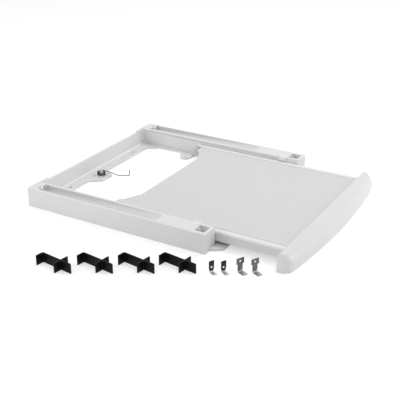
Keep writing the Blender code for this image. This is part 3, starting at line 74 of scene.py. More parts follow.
# Powder coat: its orange peel and its skin
PEEL_SIZE = 1.8 * MM
PEEL_DEPTH = 0.06 * MM
PEEL_DETAIL = 1.0
PEEL_STRENGTH = 0.35
POWDER_ROUGHNESS = 0.34
POWDER_IOR = 1.5
POWDER_COAT = 0.3
POWDER_COAT_ROUGHNESS = 0.18

# Metal: blotches in its colour, and rolling streaks drawn out along the height
BLOTCH_DETAIL = 4.0
BLOTCH_LEAST, BLOTCH_MOST = 0.35, 0.65
STREAK_DETAIL = 2.0
STREAK_DRAWN_OUT = (1.0, 1.0, 0.06)
STREAK_DEPTH = 0.03 * MM
STREAK_STRENGTH = 0.25
STREAK_SMOOTHEST, STREAK_ROUGHEST = -0.10, 0.12

# Painted reflection on the clips' foot, a pale colour that fades out unevenly upwards
REFLECTION_EDGE_RAGGED = 1.5 * MM

# Sockets that go by number, as their node has several of one name: a colour mix, a random value
MIX_SHARE, MIX_FIRST, MIX_SECOND, MIX_RESULT = 0, 6, 7, 2
RANDOM_LEAST, RANDOM_MOST, RANDOM_RESULT = 2, 3, 1

# The shelf's lighter border
SHELF_BORDER = 15 * MM
SHELF_RIM_DROP = 5 * MM

# The groove in each side rail's top, whose box gets a painted shade
RAIL_WIDTH = 50 * MM
GROOVE_INNER_RIM = 7 * MM
GROOVE_OUTER_RIM = 6 * MM
GROOVE_FRONT = 146 * MM
GROOVE_FROM_REAR = 29 * MM
GROOVE_DEPTH = 14 * MM

# How far a zone's tone reaches beyond its box
ZONE_MARGIN = 0.2 * MM

# How CAD triangles are merged, which faces count as flat, and which edges are rounded or sharp
MERGE_DISTANCE = 0.005 * MM
FLAT_ANGLE = math.radians(0.6)
SHARP_ANGLE = math.radians(34)
SMOOTH_ANGLE = math.radians(34)

# Rounded edges are no wider than a share of the room beside them. An edge that leaves steeply
# enough bounds that room.
BEVEL_STEPS = 3
ROOM_SHARE = 0.36
ASIDE_SHARE = 0.5

# Rounded faces are told from flat ones by their material slot, and then by a point attribute that
# masks the painted highlight on rounded edges
FACE_SLOT, ROUNDING_SLOT = 0, 1
ROUNDING = "rounding"

# Edges are rounded less near where a face's outline crosses itself, further out at each try
BEVEL_TRIES = 8
CROSSED_REACH = 2.0 * MM
CROSSED_SHARE = 0.5

# Widths of the rounded edges. Inner edges are rounded more, and some pieces have a fillet there.
FRAME_EDGE = 1.1 * MM
SHELF_EDGE = 0.9 * MM
COVER_EDGE = 0.8 * MM
ACETAL_EDGE = 0.5 * MM
TRACK_EDGE = 0.35 * MM
BRACKET_EDGE = 0.5 * MM
CLIP_EDGE = 0.3 * MM
PIN_EDGE = 0.3 * MM
INNER_EDGE_SHARE = 1.2
FILLETS = {"rear_panel": 2.5 * MM, "left_side_rail": 2.5 * MM, "right_side_rail": 2.5 * MM}

# Screws: pan head with a cross recess, and a rolled thread. CAD points further out than the rim's
# share of the head's radius tell where the head is.
HEAD_RADIUS = 3.3 * MM
HEAD_HEIGHT = 1.6 * MM
HEAD_DOME_SHARE = 0.42
HEAD_DOME_POWER = 2.0
HEAD_RIM_SHARE = 0.95
HEAD_SIDES = 28
HEAD_RINGS = 5
RECESS_SPAN = 3.6 * MM
RECESS_WIDTH = 0.75 * MM
RECESS_DEPTH = 0.9 * MM
CORE_RADIUS = 1.25 * MM
CORE_SIDES = 16
THREAD_PITCH = 1.1 * MM
THREAD_DEPTH = 0.3 * MM
THREAD_RUNOUT = 1.6 * MM
THREAD_POINTS = 18
RIDGE_SIDES = 4
SCREW_SEED = 7

# Spring wire of the catch: straight tail, coil round its post, and an arm bent to an upturned tip
CATCH_X = -37 * MM
CATCH_Y = 501 * MM
WIRE_RADIUS = 1.1 * MM
WIRE_SIDES = 16
TAIL_LENGTH = 20 * MM
TAIL_POINT_SHARES = (1, 1 / 3)
COIL_RADIUS = 11.3 * MM
COIL_TURNS = 3.25
COIL_PITCH = 2.7 * MM
COIL_CURL_POINTS = 36
ARM_HEIGHT = 15.2 * MM
KNEE = (-25 * MM, 476 * MM)
ELBOW = (-33 * MM, 446 * MM)
TIP = (-17 * MM, 414 * MM)
TIP_TOP = 32.5 * MM
WIRE_BEND = 4.0 * MM
BEND_POINTS = 8

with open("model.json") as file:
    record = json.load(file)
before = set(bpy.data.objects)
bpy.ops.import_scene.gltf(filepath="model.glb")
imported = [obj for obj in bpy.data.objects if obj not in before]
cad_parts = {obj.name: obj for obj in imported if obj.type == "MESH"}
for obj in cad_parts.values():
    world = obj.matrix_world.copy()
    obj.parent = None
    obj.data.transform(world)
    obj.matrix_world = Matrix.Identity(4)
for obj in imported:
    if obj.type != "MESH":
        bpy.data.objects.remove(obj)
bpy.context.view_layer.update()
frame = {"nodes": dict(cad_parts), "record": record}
SHELF_LOW, SHELF_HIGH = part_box("shelf_board")
RAIL_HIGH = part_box("right_side_rail")[1]
scene = bpy.context.scene
bodies = frame["record"]["behaviour"]["bodies"]
body_of_node = {name: body for body, names in bodies.items() for name in names}
slot_of_node = {row["node"]: row["material_slot"] for row in frame["record"]["subparts"]}


def linear(hex_colour):
    """An sRGB hex colour as linear red, green, blue and alpha, by the sRGB curve."""
    channels = [int(hex_colour[i:i + 2], 16) / 255 for i in (0, 2, 4)]
    light = [c / 12.92 if c <= 0.04045 else ((c + 0.055) / 1.055) ** 2.4 for c in channels]
    return (*light, 1.0)


def node(tree, kind, inputs=None, **settings):
    """Adds a node with its settings and inputs.

    An input goes by name or number, and takes a value, a node or socket, or a list of them.
    """
    made = tree.nodes.new(kind)
    for name, value in settings.items():
        setattr(made, name, value)
    for key, value in (inputs or {}).items():
        for one in value if isinstance(value, list) else [value]:
            if isinstance(one, bpy.types.Node):
                one = one.outputs[0]
            if isinstance(one, bpy.types.NodeSocket):
                tree.links.new(one, made.inputs[key])
            else:
                made.inputs[key].default_value = one
    return made


def new_finish(name):
    """A material with an empty tree, and the Object coordinates that its patterns follow."""
    finish = bpy.data.materials.new(name)
    finish.use_nodes = True
    tree = finish.node_tree
    tree.nodes.clear()
    return finish, tree, node(tree, "ShaderNodeTexCoord").outputs["Object"]


def within(tree, place, low, high):
    """1 where a point lies in a box or in its twin on the other side of the middle, else 0."""
    parts = node(tree, "ShaderNodeSeparateXYZ", {0: place}).outputs
    aside = node(tree, "ShaderNodeMath", {0: parts["X"]}, operation="ABSOLUTE")
    inside = 1.0
    for value, least, most in zip((aside, parts["Y"], parts["Z"]), low, high):
        limits = ((least - ZONE_MARGIN, "GREATER_THAN"), (most + ZONE_MARGIN, "LESS_THAN"))
        for limit, comparison in limits:
            test = node(tree, "ShaderNodeMath", {0: value, 1: limit}, operation=comparison)
            inside = node(tree, "ShaderNodeMath", {0: inside, 1: test}, operation="MULTIPLY")
    return inside


def moulded(name, face_hex, edge_highlight_hex, roughness, grain, depth,
            coat=0.0, cloud_share=0.045, gloss=0.5, zone=None):
    """Injection-moulded plastic, near even in colour, with faint flow clouds and a fine grain.

    Rounded edges get a painted highlight: a lighter colour where the edges are rounded than on the
    grained faces. A zone is a box with a second tone, painted shade in the rail grooves or a
    lighter
    border on the shelf: its colour, and its box's lowest and highest corner.
    """
    finish, tree, place = new_finish(name)
    base = linear(face_hex)
    deeper = tuple(c * (1 - cloud_share) for c in base[:3]) + (1.0,)
    clouds = node(tree, "ShaderNodeTexNoise", {
        "Vector": place, "Scale": 1 / CLOUD_SIZE, "Detail": CLOUD_DETAIL})
    shade = node(tree, "ShaderNodeMix", {
        MIX_SHARE: clouds.outputs["Fac"], MIX_FIRST: base, MIX_SECOND: deeper}, data_type="RGBA")
    # A box with a second tone: painted shade in the rail grooves, a lighter border on the shelf
    if zone:
        zone_hex, low, high = zone
        shade = node(tree, "ShaderNodeMix", {
            MIX_SHARE: within(tree, place, low, high), MIX_FIRST: shade.outputs[MIX_RESULT],
            MIX_SECOND: linear(zone_hex)}, data_type="RGBA")
    # Painted highlight: the rounded edges take the lighter edge colour
    rounding = node(tree, "ShaderNodeAttribute", attribute_name=ROUNDING)
    shade = node(tree, "ShaderNodeMix", {
        MIX_SHARE: rounding.outputs["Fac"], MIX_FIRST: shade.outputs[MIX_RESULT],
        MIX_SECOND: linear(edge_highlight_hex)}, data_type="RGBA")
    grains = node(tree, "ShaderNodeTexNoise", {
        "Vector": place, "Scale": 1 / grain, "Detail": GRAIN_DETAIL})
    rough = node(tree, "ShaderNodeMapRange", {
        "Value": grains.outputs["Fac"], "To Min": roughness + GRAIN_SMOOTHEST,
        "To Max": roughness + GRAIN_ROUGHEST})
    bump = node(tree, "ShaderNodeBump", {
        "Height": grains.outputs["Fac"], "Strength": GRAIN_STRENGTH, "Distance": depth})
    skin = node(tree, "ShaderNodeBsdfPrincipled", {
        "Base Color": shade.outputs[MIX_RESULT], "Roughness": rough, "Normal": bump,
        "IOR": MOULDED_IOR, "Specular IOR Level": gloss,
        "Coat Weight": coat, "Coat Roughness": MOULDED_COAT_ROUGHNESS})
    node(tree, "ShaderNodeOutputMaterial", {"Surface": skin})
    return finish


def powder_coated(name, hex_colour):
    """Powder-coated steel strip. The eye sees a hard satin skin with a faint orange peel."""
    finish, tree, place = new_finish(name)
    peel = node(tree, "ShaderNodeTexNoise", {
        "Vector": place, "Scale": 1 / PEEL_SIZE, "Detail": PEEL_DETAIL})
    bump = node(tree, "ShaderNodeBump", {
        "Height": peel.outputs["Fac"], "Strength": PEEL_STRENGTH, "Distance": PEEL_DEPTH})
    skin = node(tree, "ShaderNodeBsdfPrincipled", {
        "Base Color": linear(hex_colour), "Roughness": POWDER_ROUGHNESS, "Normal": bump,
        "IOR": POWDER_IOR, "Coat Weight": POWDER_COAT, "Coat Roughness": POWDER_COAT_ROUGHNESS})
    node(tree, "ShaderNodeOutputMaterial", {"Surface": skin})
    return finish


def bare_metal(name, light_hex, dark_hex, roughness, blotch, streak,
               foot_reflection_hex=None, foot_reflection_fade=(0, 0)):
    """Rolled or plated steel. The eye sees blotches of plating or scale, and fine streaks.

    A clip's foot gets a painted reflection of the white room, pale, fading out between the two
    heights given.
    """
    finish, tree, place = new_finish(name)
    blotches = node(tree, "ShaderNodeTexNoise", {
        "Vector": place, "Scale": 1 / blotch, "Detail": BLOTCH_DETAIL})
    spread = node(tree, "ShaderNodeMapRange", {
        "Value": blotches.outputs["Fac"], "From Min": BLOTCH_LEAST, "From Max": BLOTCH_MOST})
    shade = node(tree, "ShaderNodeMix", {
        MIX_SHARE: spread, MIX_FIRST: linear(dark_hex), MIX_SECOND: linear(light_hex)},
        data_type="RGBA")
    # The foot's pale colour is a painted reflection of the white room, not worn blacking
    if foot_reflection_hex:
        parts = node(tree, "ShaderNodeSeparateXYZ", {0: place}).outputs
        uneven = node(tree, "ShaderNodeMath", {0: spread, 1: REFLECTION_EDGE_RAGGED, 2: parts["Z"]},
                      operation="MULTIPLY_ADD")
        rise = node(tree, "ShaderNodeMapRange", {
            "Value": uneven, "From Min": foot_reflection_fade[0], "From Max": foot_reflection_fade[1]},
            interpolation_type="SMOOTHSTEP")
        shade = node(tree, "ShaderNodeMix", {
            MIX_SHARE: rise, MIX_FIRST: linear(foot_reflection_hex), MIX_SECOND: shade.outputs[MIX_RESULT]},
            data_type="RGBA")
    drawn_out = node(tree, "ShaderNodeMapping", {"Vector": place, "Scale": STREAK_DRAWN_OUT})
    streaks = node(tree, "ShaderNodeTexNoise", {
        "Vector": drawn_out, "Scale": 1 / streak, "Detail": STREAK_DETAIL})
    rough = node(tree, "ShaderNodeMapRange", {
        "Value": streaks.outputs["Fac"], "To Min": roughness + STREAK_SMOOTHEST,
        "To Max": roughness + STREAK_ROUGHEST})
    bump = node(tree, "ShaderNodeBump", {
        "Height": streaks.outputs["Fac"], "Strength": STREAK_STRENGTH, "Distance": STREAK_DEPTH})
    skin = node(tree, "ShaderNodeBsdfPrincipled", {
        "Base Color": shade.outputs[MIX_RESULT], "Metallic": 1.0,
        "Roughness": rough, "Normal": bump})
    node(tree, "ShaderNodeOutputMaterial", {"Surface": skin})
    return finish


# Boxes with a second tone: painted shade in each rail's groove up to its rounded rims, and the
# shelf's lighter border
GROOVE_SHADE_LOW = (
    RAIL_HIGH.x - RAIL_WIDTH + GROOVE_INNER_RIM, GROOVE_FRONT, RAIL_HIGH.z - GROOVE_DEPTH)
GROOVE_SHADE_HIGH = (
    RAIL_HIGH.x - GROOVE_OUTER_RIM, RAIL_HIGH.y - GROOVE_FROM_REAR, RAIL_HIGH.z - FRAME_EDGE)
BORDER_LOW = (SHELF_HIGH.x - SHELF_BORDER, SHELF_LOW.y, SHELF_HIGH.z - SHELF_RIM_DROP)

# The grain of a real mould is about 0.1 mm. It is drawn as coarse as it needs to show.
# Each moulded finish's second colour is a painted highlight on its rounded edges.
# Frame: ABS from a grained mould. The eye sees an even satin white, with painted shade down in the
# grooves.
FRAME_ABS = moulded("abs_moulded_satin_white_frame", "E4E4E4", "FBFBFB",
                    roughness=0.42, grain=0.9 * MM, depth=0.05 * MM,
                    zone=("D2D2D2", GROOVE_SHADE_LOW, GROOVE_SHADE_HIGH))
# Shelf: the same ABS, a little duller. The eye sees a flat pale grey inside a lighter border.
SHELF_ABS = moulded("abs_moulded_satin_white_shelf", "D8D8D8", "E6E6E6",
                    roughness=0.44, grain=0.8 * MM, depth=0.045 * MM,
                    zone=("E8E8E8", BORDER_LOW, SHELF_HIGH))
# Front cover: ABS from a polished mould. The eye sees it glossier than the frame.
COVER_ABS = moulded("abs_moulded_polished_white_cover", "DFDFDF", "F4F4F4",
                    roughness=0.30, grain=1.4 * MM, depth=0.02 * MM, coat=0.35)
# Rollers, guide blocks, and the catch's post and track: acetal. The eye sees a slick white.
ACETAL = moulded("acetal_moulded_smooth_white", "EDEDEB", "F6F6F4",
                 roughness=0.30, grain=1.2 * MM, depth=0.015 * MM)
# Brackets: black polypropylene. The eye sees a dull black with a thin grey painted highlight on its
# edges.
POLYPROPYLENE = moulded("polypropylene_moulded_black", "080809", "3C3C3E",
                        roughness=0.48, grain=0.7 * MM, depth=0.05 * MM,
                        cloud_share=0.2, gloss=0.12)
# Runner tracks: coated steel. The eye sees a hard satin white.
TRACK_STEEL = powder_coated("steel_strip_powder_coated_white", "E0E0E0")
# Screws and pins: zinc plate over steel. The eye sees a bright, slightly mottled grey.
ZINC_STEEL = bare_metal("steel_zinc_plated", "C6C9CC", "A9ADB1",
                        roughness=0.32, blotch=1.6 * MM, streak=0.25 * MM)
# Catch: oil-tempered spring steel. The eye sees a smooth dark grey wire.
WIRE_STEEL = bare_metal("spring_steel_oil_tempered_wire", "5A5A5C", "343436",
                        roughness=0.34, blotch=2.5 * MM, streak=0.3 * MM)
# Short clips: pressed and blackened steel. The eye sees near black above a foot painted bright as a
# reflection.
DARK_STEEL = bare_metal("steel_pressed_blackened", "424345", "242527",
                        roughness=0.40, blotch=3.0 * MM, streak=0.3 * MM,
                        foot_reflection_hex="CFCFD0", foot_reflection_fade=(1.5 * MM, 8.0 * MM))
# Long clips: pressed steel left bare. The eye sees mid grey above a foot painted paler as a
# reflection.
GREY_STEEL = bare_metal("steel_pressed_bare", "7F8082", "5A5B5D",
                        roughness=0.36, blotch=3.5 * MM, streak=0.3 * MM,
                        foot_reflection_hex="ABACAD", foot_reflection_fade=(1.5 * MM, 12.0 * MM))

# Each CAD slot's finish, and how far its edges are rounded
LOOKS = {
    "frame_white": (FRAME_ABS, FRAME_EDGE),
    "shelf_white": (SHELF_ABS, SHELF_EDGE),
    "cover_white": (COVER_ABS, COVER_EDGE),
    "white_acetal": (ACETAL, ACETAL_EDGE),
    "track_white": (TRACK_STEEL, TRACK_EDGE),
    "zinc": (ZINC_STEEL, PIN_EDGE),
    "black_plastic": (POLYPROPYLENE, BRACKET_EDGE),
    "dark_steel": (DARK_STEEL, CLIP_EDGE),
    "grey_steel": (GREY_STEEL, CLIP_EDGE),
}


def evaluated_mesh(holder):
    """A plain mesh of what an object's modifiers make of it."""
    evaluated = holder.evaluated_get(bpy.context.evaluated_depsgraph_get())
    return bpy.data.meshes.new_from_object(evaluated)


def stand_in(piece, cad_nodes):
    """The piece rides on the CAD nodes' body and hides them."""
    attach(piece, body_of_node[cad_nodes[0]])
    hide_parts(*cad_nodes)


def join_flat_faces(shape):
    """Takes out the edges that lie within a flat face, as far as the face's holes allow."""
    bmesh.ops.dissolve_limit(shape, angle_limit=FLAT_ANGLE, verts=shape.verts[:],
                             edges=shape.edges[:], use_dissolve_boundaries=False)


def lies_flat(edge):
    """Whether an edge only divides a flat face."""
    return len(edge.link_faces) == 2 and edge.calc_face_angle(0) < FLAT_ANGLE


def merged(cad_node):
    """A CAD node's loose triangles joined into one shape, its flat faces whole again."""
    shape = bmesh.new()
    shape.from_mesh(frame["nodes"][cad_node].data)
    bmesh.ops.remove_doubles(shape, verts=shape.verts[:], dist=MERGE_DISTANCE)
    join_flat_faces(shape)
    bmesh.ops.triangulate(shape, faces=shape.faces[:], quad_method="BEAUTY", ngon_method="BEAUTY")
    seams = [edge for edge in shape.edges if lies_flat(edge)]
    bmesh.ops.beautify_fill(shape, faces=shape.faces[:], edges=seams, method="ANGLE")
    join_flat_faces(shape)
    return shape


def distance_to(point, edge):
    """How far a point is from an edge."""
    start, end = edge.verts[0].co, edge.verts[1].co
    line = end - start
    share = min(1.0, max(0.0, (point - start).dot(line) / line.length_squared))
    return (point - start - line * share).length


def room_beside(edge):
    """How far it is from a sharp edge to what else its two faces hold."""
    ends = set(edge.verts)
    line = (edge.verts[1].co - edge.verts[0].co).normalized()
    room = math.inf
    for face in edge.link_faces:
        same_line = set(ends)
        for other in face.edges:
            if other is edge or not ends & set(other.verts):
                continue
            aside = other.verts[1].co - other.verts[0].co
            across = (aside - line * aside.dot(line)).length
            if across > ASIDE_SHARE * aside.length:
                room = min(room, across)
            same_line.update(other.verts)
        for corner in face.verts:
            if corner not in same_line:
                room = min(room, distance_to(corner.co, edge))
    return room


def crossed_corners(mesh):
    """The corners of a mesh's faces where a face's outline crosses itself."""
    corners = []
    for face in mesh.polygons:
        drop = max(range(3), key=lambda axis: abs(face.normal[axis]))
        keep = [axis for axis in range(3) if axis != drop]
        points = [mesh.vertices[i].co for i in face.vertices]
        flat = [Vector((point[keep[0]], point[keep[1]])) for point in points]
        count = len(flat)
        for i in range(count):
            for j in range(i + 2, count):
                after_i, after_j = (i + 1) % count, (j + 1) % count
                if after_j != i and intersect_line_line_2d(
                        flat[i], flat[after_i], flat[j], flat[after_j]):
                    corners += [points[i], points[after_i], points[j], points[after_j]]
    return corners


def bevelled(shape, cad_node, finish, width):
    """A piece from a shape whose edges carry bevel weights, the bevel worked into its mesh."""
    mesh = bpy.data.meshes.new(f"{cad_node}_finished")
    shape.to_mesh(mesh)
    mesh.shade_smooth()
    mesh.set_sharp_from_angle(angle=SMOOTH_ANGLE)
    for _ in (FACE_SLOT, ROUNDING_SLOT):
        mesh.materials.append(finish)
    piece = bpy.data.objects.new(f"{cad_node}_finished", mesh)
    scene.collection.objects.link(piece)
    bevel = piece.modifiers.new("softened edges", "BEVEL")
    bevel.limit_method = "WEIGHT"
    bevel.width = width
    bevel.segments = BEVEL_STEPS
    bevel.use_clamp_overlap = False
    bevel.material = ROUNDING_SLOT
    shading = piece.modifiers.new("flat faces shade flat", "WEIGHTED_NORMAL")
    shading.mode = "FACE_AREA"
    shading.keep_sharp = True
    piece.data = evaluated_mesh(piece)
    piece.modifiers.clear()
    return piece


def mark_roundings(mesh):
    """Marks the points in rounded edges for the painted highlight, and leaves one material slot."""
    marks = [1.0] * len(mesh.vertices)
    for face in mesh.polygons:
        if face.material_index == FACE_SLOT:
            for corner in face.vertices:
                marks[corner] = 0.0
        face.material_index = FACE_SLOT
    mesh.materials.pop(index=ROUNDING_SLOT)
    mesh.attributes.new(ROUNDING, "FLOAT", "POINT").data.foreach_set("value", marks)


def weigh_edges(shape, width, inner_width):
    """Gives each sharp edge its rounding as a share of the widest, and returns that layer."""
    weight = shape.edges.layers.float.new("bevel_weight_edge")
    for edge in shape.edges:
        if len(edge.link_faces) != 2 or edge.calc_face_angle(0) < SHARP_ANGLE:
            continue
        wish = width if edge.is_convex else inner_width
        edge[weight] = min(wish, room_beside(edge) * ROOM_SHARE) / max(width, inner_width)
    return weight


def soften(cad_node, finish, width):
    """A copy of a CAD node with rounded edges, which stands for it and stays in its box."""
    shape = merged(cad_node)
    inner_width = FILLETS.get(cad_node, width * INNER_EDGE_SHARE)
    widest = max(width, inner_width)
    weight = weigh_edges(shape, width, inner_width)
    piece = bevelled(shape, cad_node, finish, widest)
    for attempt in range(1, BEVEL_TRIES):
        corners = crossed_corners(piece.data)
        if not corners:
            break
        for vertex in shape.verts:
            if any((vertex.co - corner).length < attempt * CROSSED_REACH for corner in corners):
                for edge in vertex.link_edges:
                    edge[weight] *= CROSSED_SHARE
        bpy.data.objects.remove(piece)
        piece = bevelled(shape, cad_node, finish, widest)
    shape.free()
    mark_roundings(piece.data)
    low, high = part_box(cad_node)
    for vertex in piece.data.vertices:
        vertex.co = [min(max(c, bottom), top) for c, bottom, top in zip(vertex.co, low, high)]
    stand_in(piece, [cad_node])


def geometry_tree(name, sizes):
    """A geometry tree whose inputs are points, named sizes and a finish."""
    tree = bpy.data.node_groups.new(name, "GeometryNodeTree")
    tree.interface.new_socket("Geometry", in_out="INPUT", socket_type="NodeSocketGeometry")
    for size in sizes:
        tree.interface.new_socket(size, in_out="INPUT", socket_type="NodeSocketFloat")
    tree.interface.new_socket("Finish", in_out="INPUT", socket_type="NodeSocketMaterial")
    tree.interface.new_socket("Geometry", in_out="OUTPUT", socket_type="NodeSocketGeometry")
    return tree, node(tree, "NodeGroupInput").outputs


def end_tree(tree, geometry, finish):
    """Makes instances real and gives them their finish, as the tree's result."""
    real = node(tree, "GeometryNodeRealizeInstances", {"Geometry": geometry})
    dressed = node(tree, "GeometryNodeSetMaterial", {"Geometry": real, "Material": finish})
    node(tree, "NodeGroupOutput", {"Geometry": dressed})
    return tree


def pan_head(tree, given):
    """A screw's head with a domed top, standing on the origin."""
    head = node(tree, "GeometryNodeMeshCylinder", {
        "Vertices": HEAD_SIDES, "Fill Segments": HEAD_RINGS, "Radius": given["Head radius"],
        "Depth": given["Head height"]}, fill_type="TRIANGLE_FAN")
    here = node(tree, "GeometryNodeInputPosition")
    parts = node(tree, "ShaderNodeSeparateXYZ", {0: here}).outputs
    flat_here = node(tree, "ShaderNodeCombineXYZ", {"X": parts["X"], "Y": parts["Y"]})
    reach = node(tree, "ShaderNodeVectorMath", {0: flat_here}, operation="LENGTH").outputs["Value"]
    share = node(tree, "ShaderNodeMath", {0: reach, 1: given["Head radius"]}, operation="DIVIDE")
    bulge = node(tree, "ShaderNodeMath", {0: share, 1: HEAD_DOME_POWER}, operation="POWER")
    on_top = node(tree, "ShaderNodeMath", {0: parts["Z"], 1: 0.0}, operation="GREATER_THAN")
    top_bulge = node(tree, "ShaderNodeMath", {0: bulge, 1: on_top}, operation="MULTIPLY")
    fall = node(tree, "ShaderNodeMath", {0: top_bulge, 1: given["Dome drop"]}, operation="MULTIPLY")
    half_head = node(tree, "ShaderNodeMath", {0: given["Head height"], 1: 0.5},
                     operation="MULTIPLY")
    rise = node(tree, "ShaderNodeMath", {0: half_head, 1: fall}, operation="SUBTRACT")
    lift = node(tree, "ShaderNodeCombineXYZ", {"Z": rise})
    return node(tree, "GeometryNodeSetPosition", {"Geometry": head, "Offset": lift})


def cross_recess(tree, given):
    """The two crossed bars that are cut out of a head's top."""
    crown = node(tree, "ShaderNodeCombineXYZ", {"Z": given["Head height"]})
    bars = []
    for long_way, short_way in (("X", "Y"), ("Y", "X")):
        size = node(tree, "ShaderNodeCombineXYZ", {
            long_way: given["Recess span"], short_way: given["Recess width"],
            "Z": given["Recess height"]})
        bar = node(tree, "GeometryNodeMeshCube", {"Size": size})
        bars.append(node(tree, "GeometryNodeTransform", {"Geometry": bar, "Translation": crown}))
    return node(tree, "GeometryNodeMeshBoolean", {"Mesh 2": bars}, operation="UNION")


def screw_core(tree, given):
    """A screw's shank, hanging from the origin."""
    core = node(tree, "GeometryNodeMeshCylinder", {
        "Vertices": CORE_SIDES, "Radius": given["Core radius"], "Depth": given["Shank length"]})
    half_down = node(tree, "ShaderNodeMath", {0: given["Shank length"], 1: -0.5},
                     operation="MULTIPLY")
    under_head = node(tree, "ShaderNodeCombineXYZ", {"Z": half_down})
    return node(tree, "GeometryNodeTransform", {"Geometry": core, "Translation": under_head})


def rolled_thread(tree, given):
    """The ridge that winds up a screw's shank."""
    helix = node(tree, "GeometryNodeCurveSpiral", {
        "Resolution": THREAD_POINTS, "Rotations": given["Thread turns"],
        "Start Radius": given["Core radius"], "End Radius": given["Core radius"],
        "Height": given["Thread length"]})
    ridge = node(tree, "GeometryNodeCurvePrimitiveCircle", {
        "Resolution": RIDGE_SIDES, "Radius": given["Thread depth"]})
    thread = node(tree, "GeometryNodeCurveToMesh", {
        "Curve": helix, "Profile Curve": ridge, "Fill Caps": True})
    foot = node(tree, "ShaderNodeCombineXYZ", {"Z": given["Thread foot"]})
    return node(tree, "GeometryNodeTransform", {"Geometry": thread, "Translation": foot})


def screw_tree():
    """A screw on each point, facing the point's own way, its recess turned at random."""
    tree, given = geometry_tree("cross_recess_screws", (
        "Head radius", "Head height", "Dome drop", "Core radius", "Shank length", "Thread turns",
        "Thread length", "Thread foot", "Thread depth", "Recess span", "Recess width",
        "Recess height"))
    head = node(tree, "GeometryNodeMeshBoolean", {
        "Mesh 1": pan_head(tree, given), "Mesh 2": cross_recess(tree, given)},
        operation="DIFFERENCE")
    screw = node(tree, "GeometryNodeJoinGeometry", {
        0: [head, screw_core(tree, given), rolled_thread(tree, given)]})
    facing = node(tree, "GeometryNodeInputNamedAttribute", {"Name": "facing"},
                  data_type="FLOAT_VECTOR")
    aligned = node(tree, "FunctionNodeAlignRotationToVector", {"Vector": facing}, axis="Z")
    driven = node(tree, "FunctionNodeRandomValue", {
        RANDOM_LEAST: 0.0, RANDOM_MOST: math.pi, "Seed": SCREW_SEED}, data_type="FLOAT")
    spin = node(tree, "FunctionNodeAxisAngleToRotation", {
        "Axis": (0.0, 0.0, 1.0), "Angle": driven.outputs[RANDOM_RESULT]})
    turned = node(tree, "FunctionNodeRotateRotation", {0: aligned, 1: spin}, rotation_space="LOCAL")
    placed = node(tree, "GeometryNodeInstanceOnPoints", {
        "Points": given["Geometry"], "Instance": screw, "Rotation": turned})
    return end_tree(tree, placed, given["Finish"])


def wire_tree():
    """Round drawn wire along the object's own line, with closed ends."""
    tree, given = geometry_tree("drawn_wire", ("Wire radius", "Sides"))
    line = node(tree, "GeometryNodeMeshToCurve", {"Mesh": given["Geometry"]})
    section = node(tree, "GeometryNodeCurvePrimitiveCircle", {
        "Resolution": given["Sides"], "Radius": given["Wire radius"]})
    wire = node(tree, "GeometryNodeCurveToMesh", {
        "Curve": line, "Profile Curve": section, "Fill Caps": True})
    return end_tree(tree, wire, given["Finish"])


def grow(name, tree, points, edges, sizes, finish, facing=()):
    """Runs a geometry tree on bare points and gives its result as a plain mesh object."""
    seeds = bpy.data.meshes.new(f"{name}_points")
    seeds.from_pydata(points, edges, [])
    if facing:
        ways = seeds.attributes.new("facing", "FLOAT_VECTOR", "POINT")
        ways.data.foreach_set("vector", [c for way in facing for c in way])
    holder = bpy.data.objects.new(f"{name}_points", seeds)
    scene.collection.objects.link(holder)
    modifier = holder.modifiers.new("grow", "NODES")
    modifier.node_group = tree
    for socket in tree.interface.items_tree:
        if socket.in_out == "INPUT" and socket.name in sizes:
            modifier[socket.identifier] = float(sizes[socket.name])
        if socket.in_out == "INPUT" and socket.name == "Finish":
            modifier[socket.identifier] = finish
    mesh = evaluated_mesh(holder)
    bpy.data.objects.remove(holder)
    mesh.shade_smooth()
    mesh.set_sharp_from_angle(angle=SMOOTH_ANGLE)
    piece = bpy.data.objects.new(name, mesh)
    scene.collection.objects.link(piece)
    return piece


def screw_stance(cad_node):
    """A screw's place under its head, the way it faces and its shank's length, from the CAD."""
    low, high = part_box(cad_node)
    size = high - low
    along = max(range(3), key=lambda axis: size[axis])
    middle = (low + high) / 2
    head = []
    for vertex in frame["nodes"][cad_node].data.vertices:
        aside = vertex.co - middle
        aside[along] = 0
        if aside.length > HEAD_RADIUS * HEAD_RIM_SHARE:
            head.append(vertex.co[along])
    facing = Vector((0, 0, 0))
    facing[along] = math.copysign(1, sum(head) / len(head) - middle[along])
    seat = middle + facing * (size[along] / 2 - HEAD_HEIGHT)
    return seat, facing, size[along] - HEAD_HEIGHT


def screw_set(name, tree, cad_nodes):
    """All screws of one kind as one piece."""
    seats, facings, shanks = zip(*[screw_stance(cad_node) for cad_node in cad_nodes])
    shank = shanks[0]
    thread_length = shank - THREAD_RUNOUT
    sizes = {
        "Head radius": HEAD_RADIUS, "Head height": HEAD_HEIGHT,
        "Dome drop": HEAD_DOME_SHARE * HEAD_HEIGHT,
        "Recess span": RECESS_SPAN, "Recess width": RECESS_WIDTH, "Recess height": 2 * RECESS_DEPTH,
        "Core radius": CORE_RADIUS, "Shank length": shank,
        "Thread turns": thread_length / THREAD_PITCH, "Thread length": thread_length,
        "Thread foot": THREAD_DEPTH - shank, "Thread depth": THREAD_DEPTH,
    }
    stand_in(grow(name, tree, list(seats), [], sizes, ZINC_STEEL, facings), cad_nodes)


def screws():
    """Every screw, by kind, so that each piece rides on one body."""
    tree = screw_tree()
    kinds = ("left_track_screw", "right_track_screw", "rear_panel_screw", "front_panel_screw",
             "catch_post_screw", "cover_screw", "catch_track_screw")
    for kind in kinds:
        cad_nodes = sorted(name for name in frame["nodes"] if name.startswith(kind))
        screw_set(f"{kind}s_cross_recess", tree, cad_nodes)


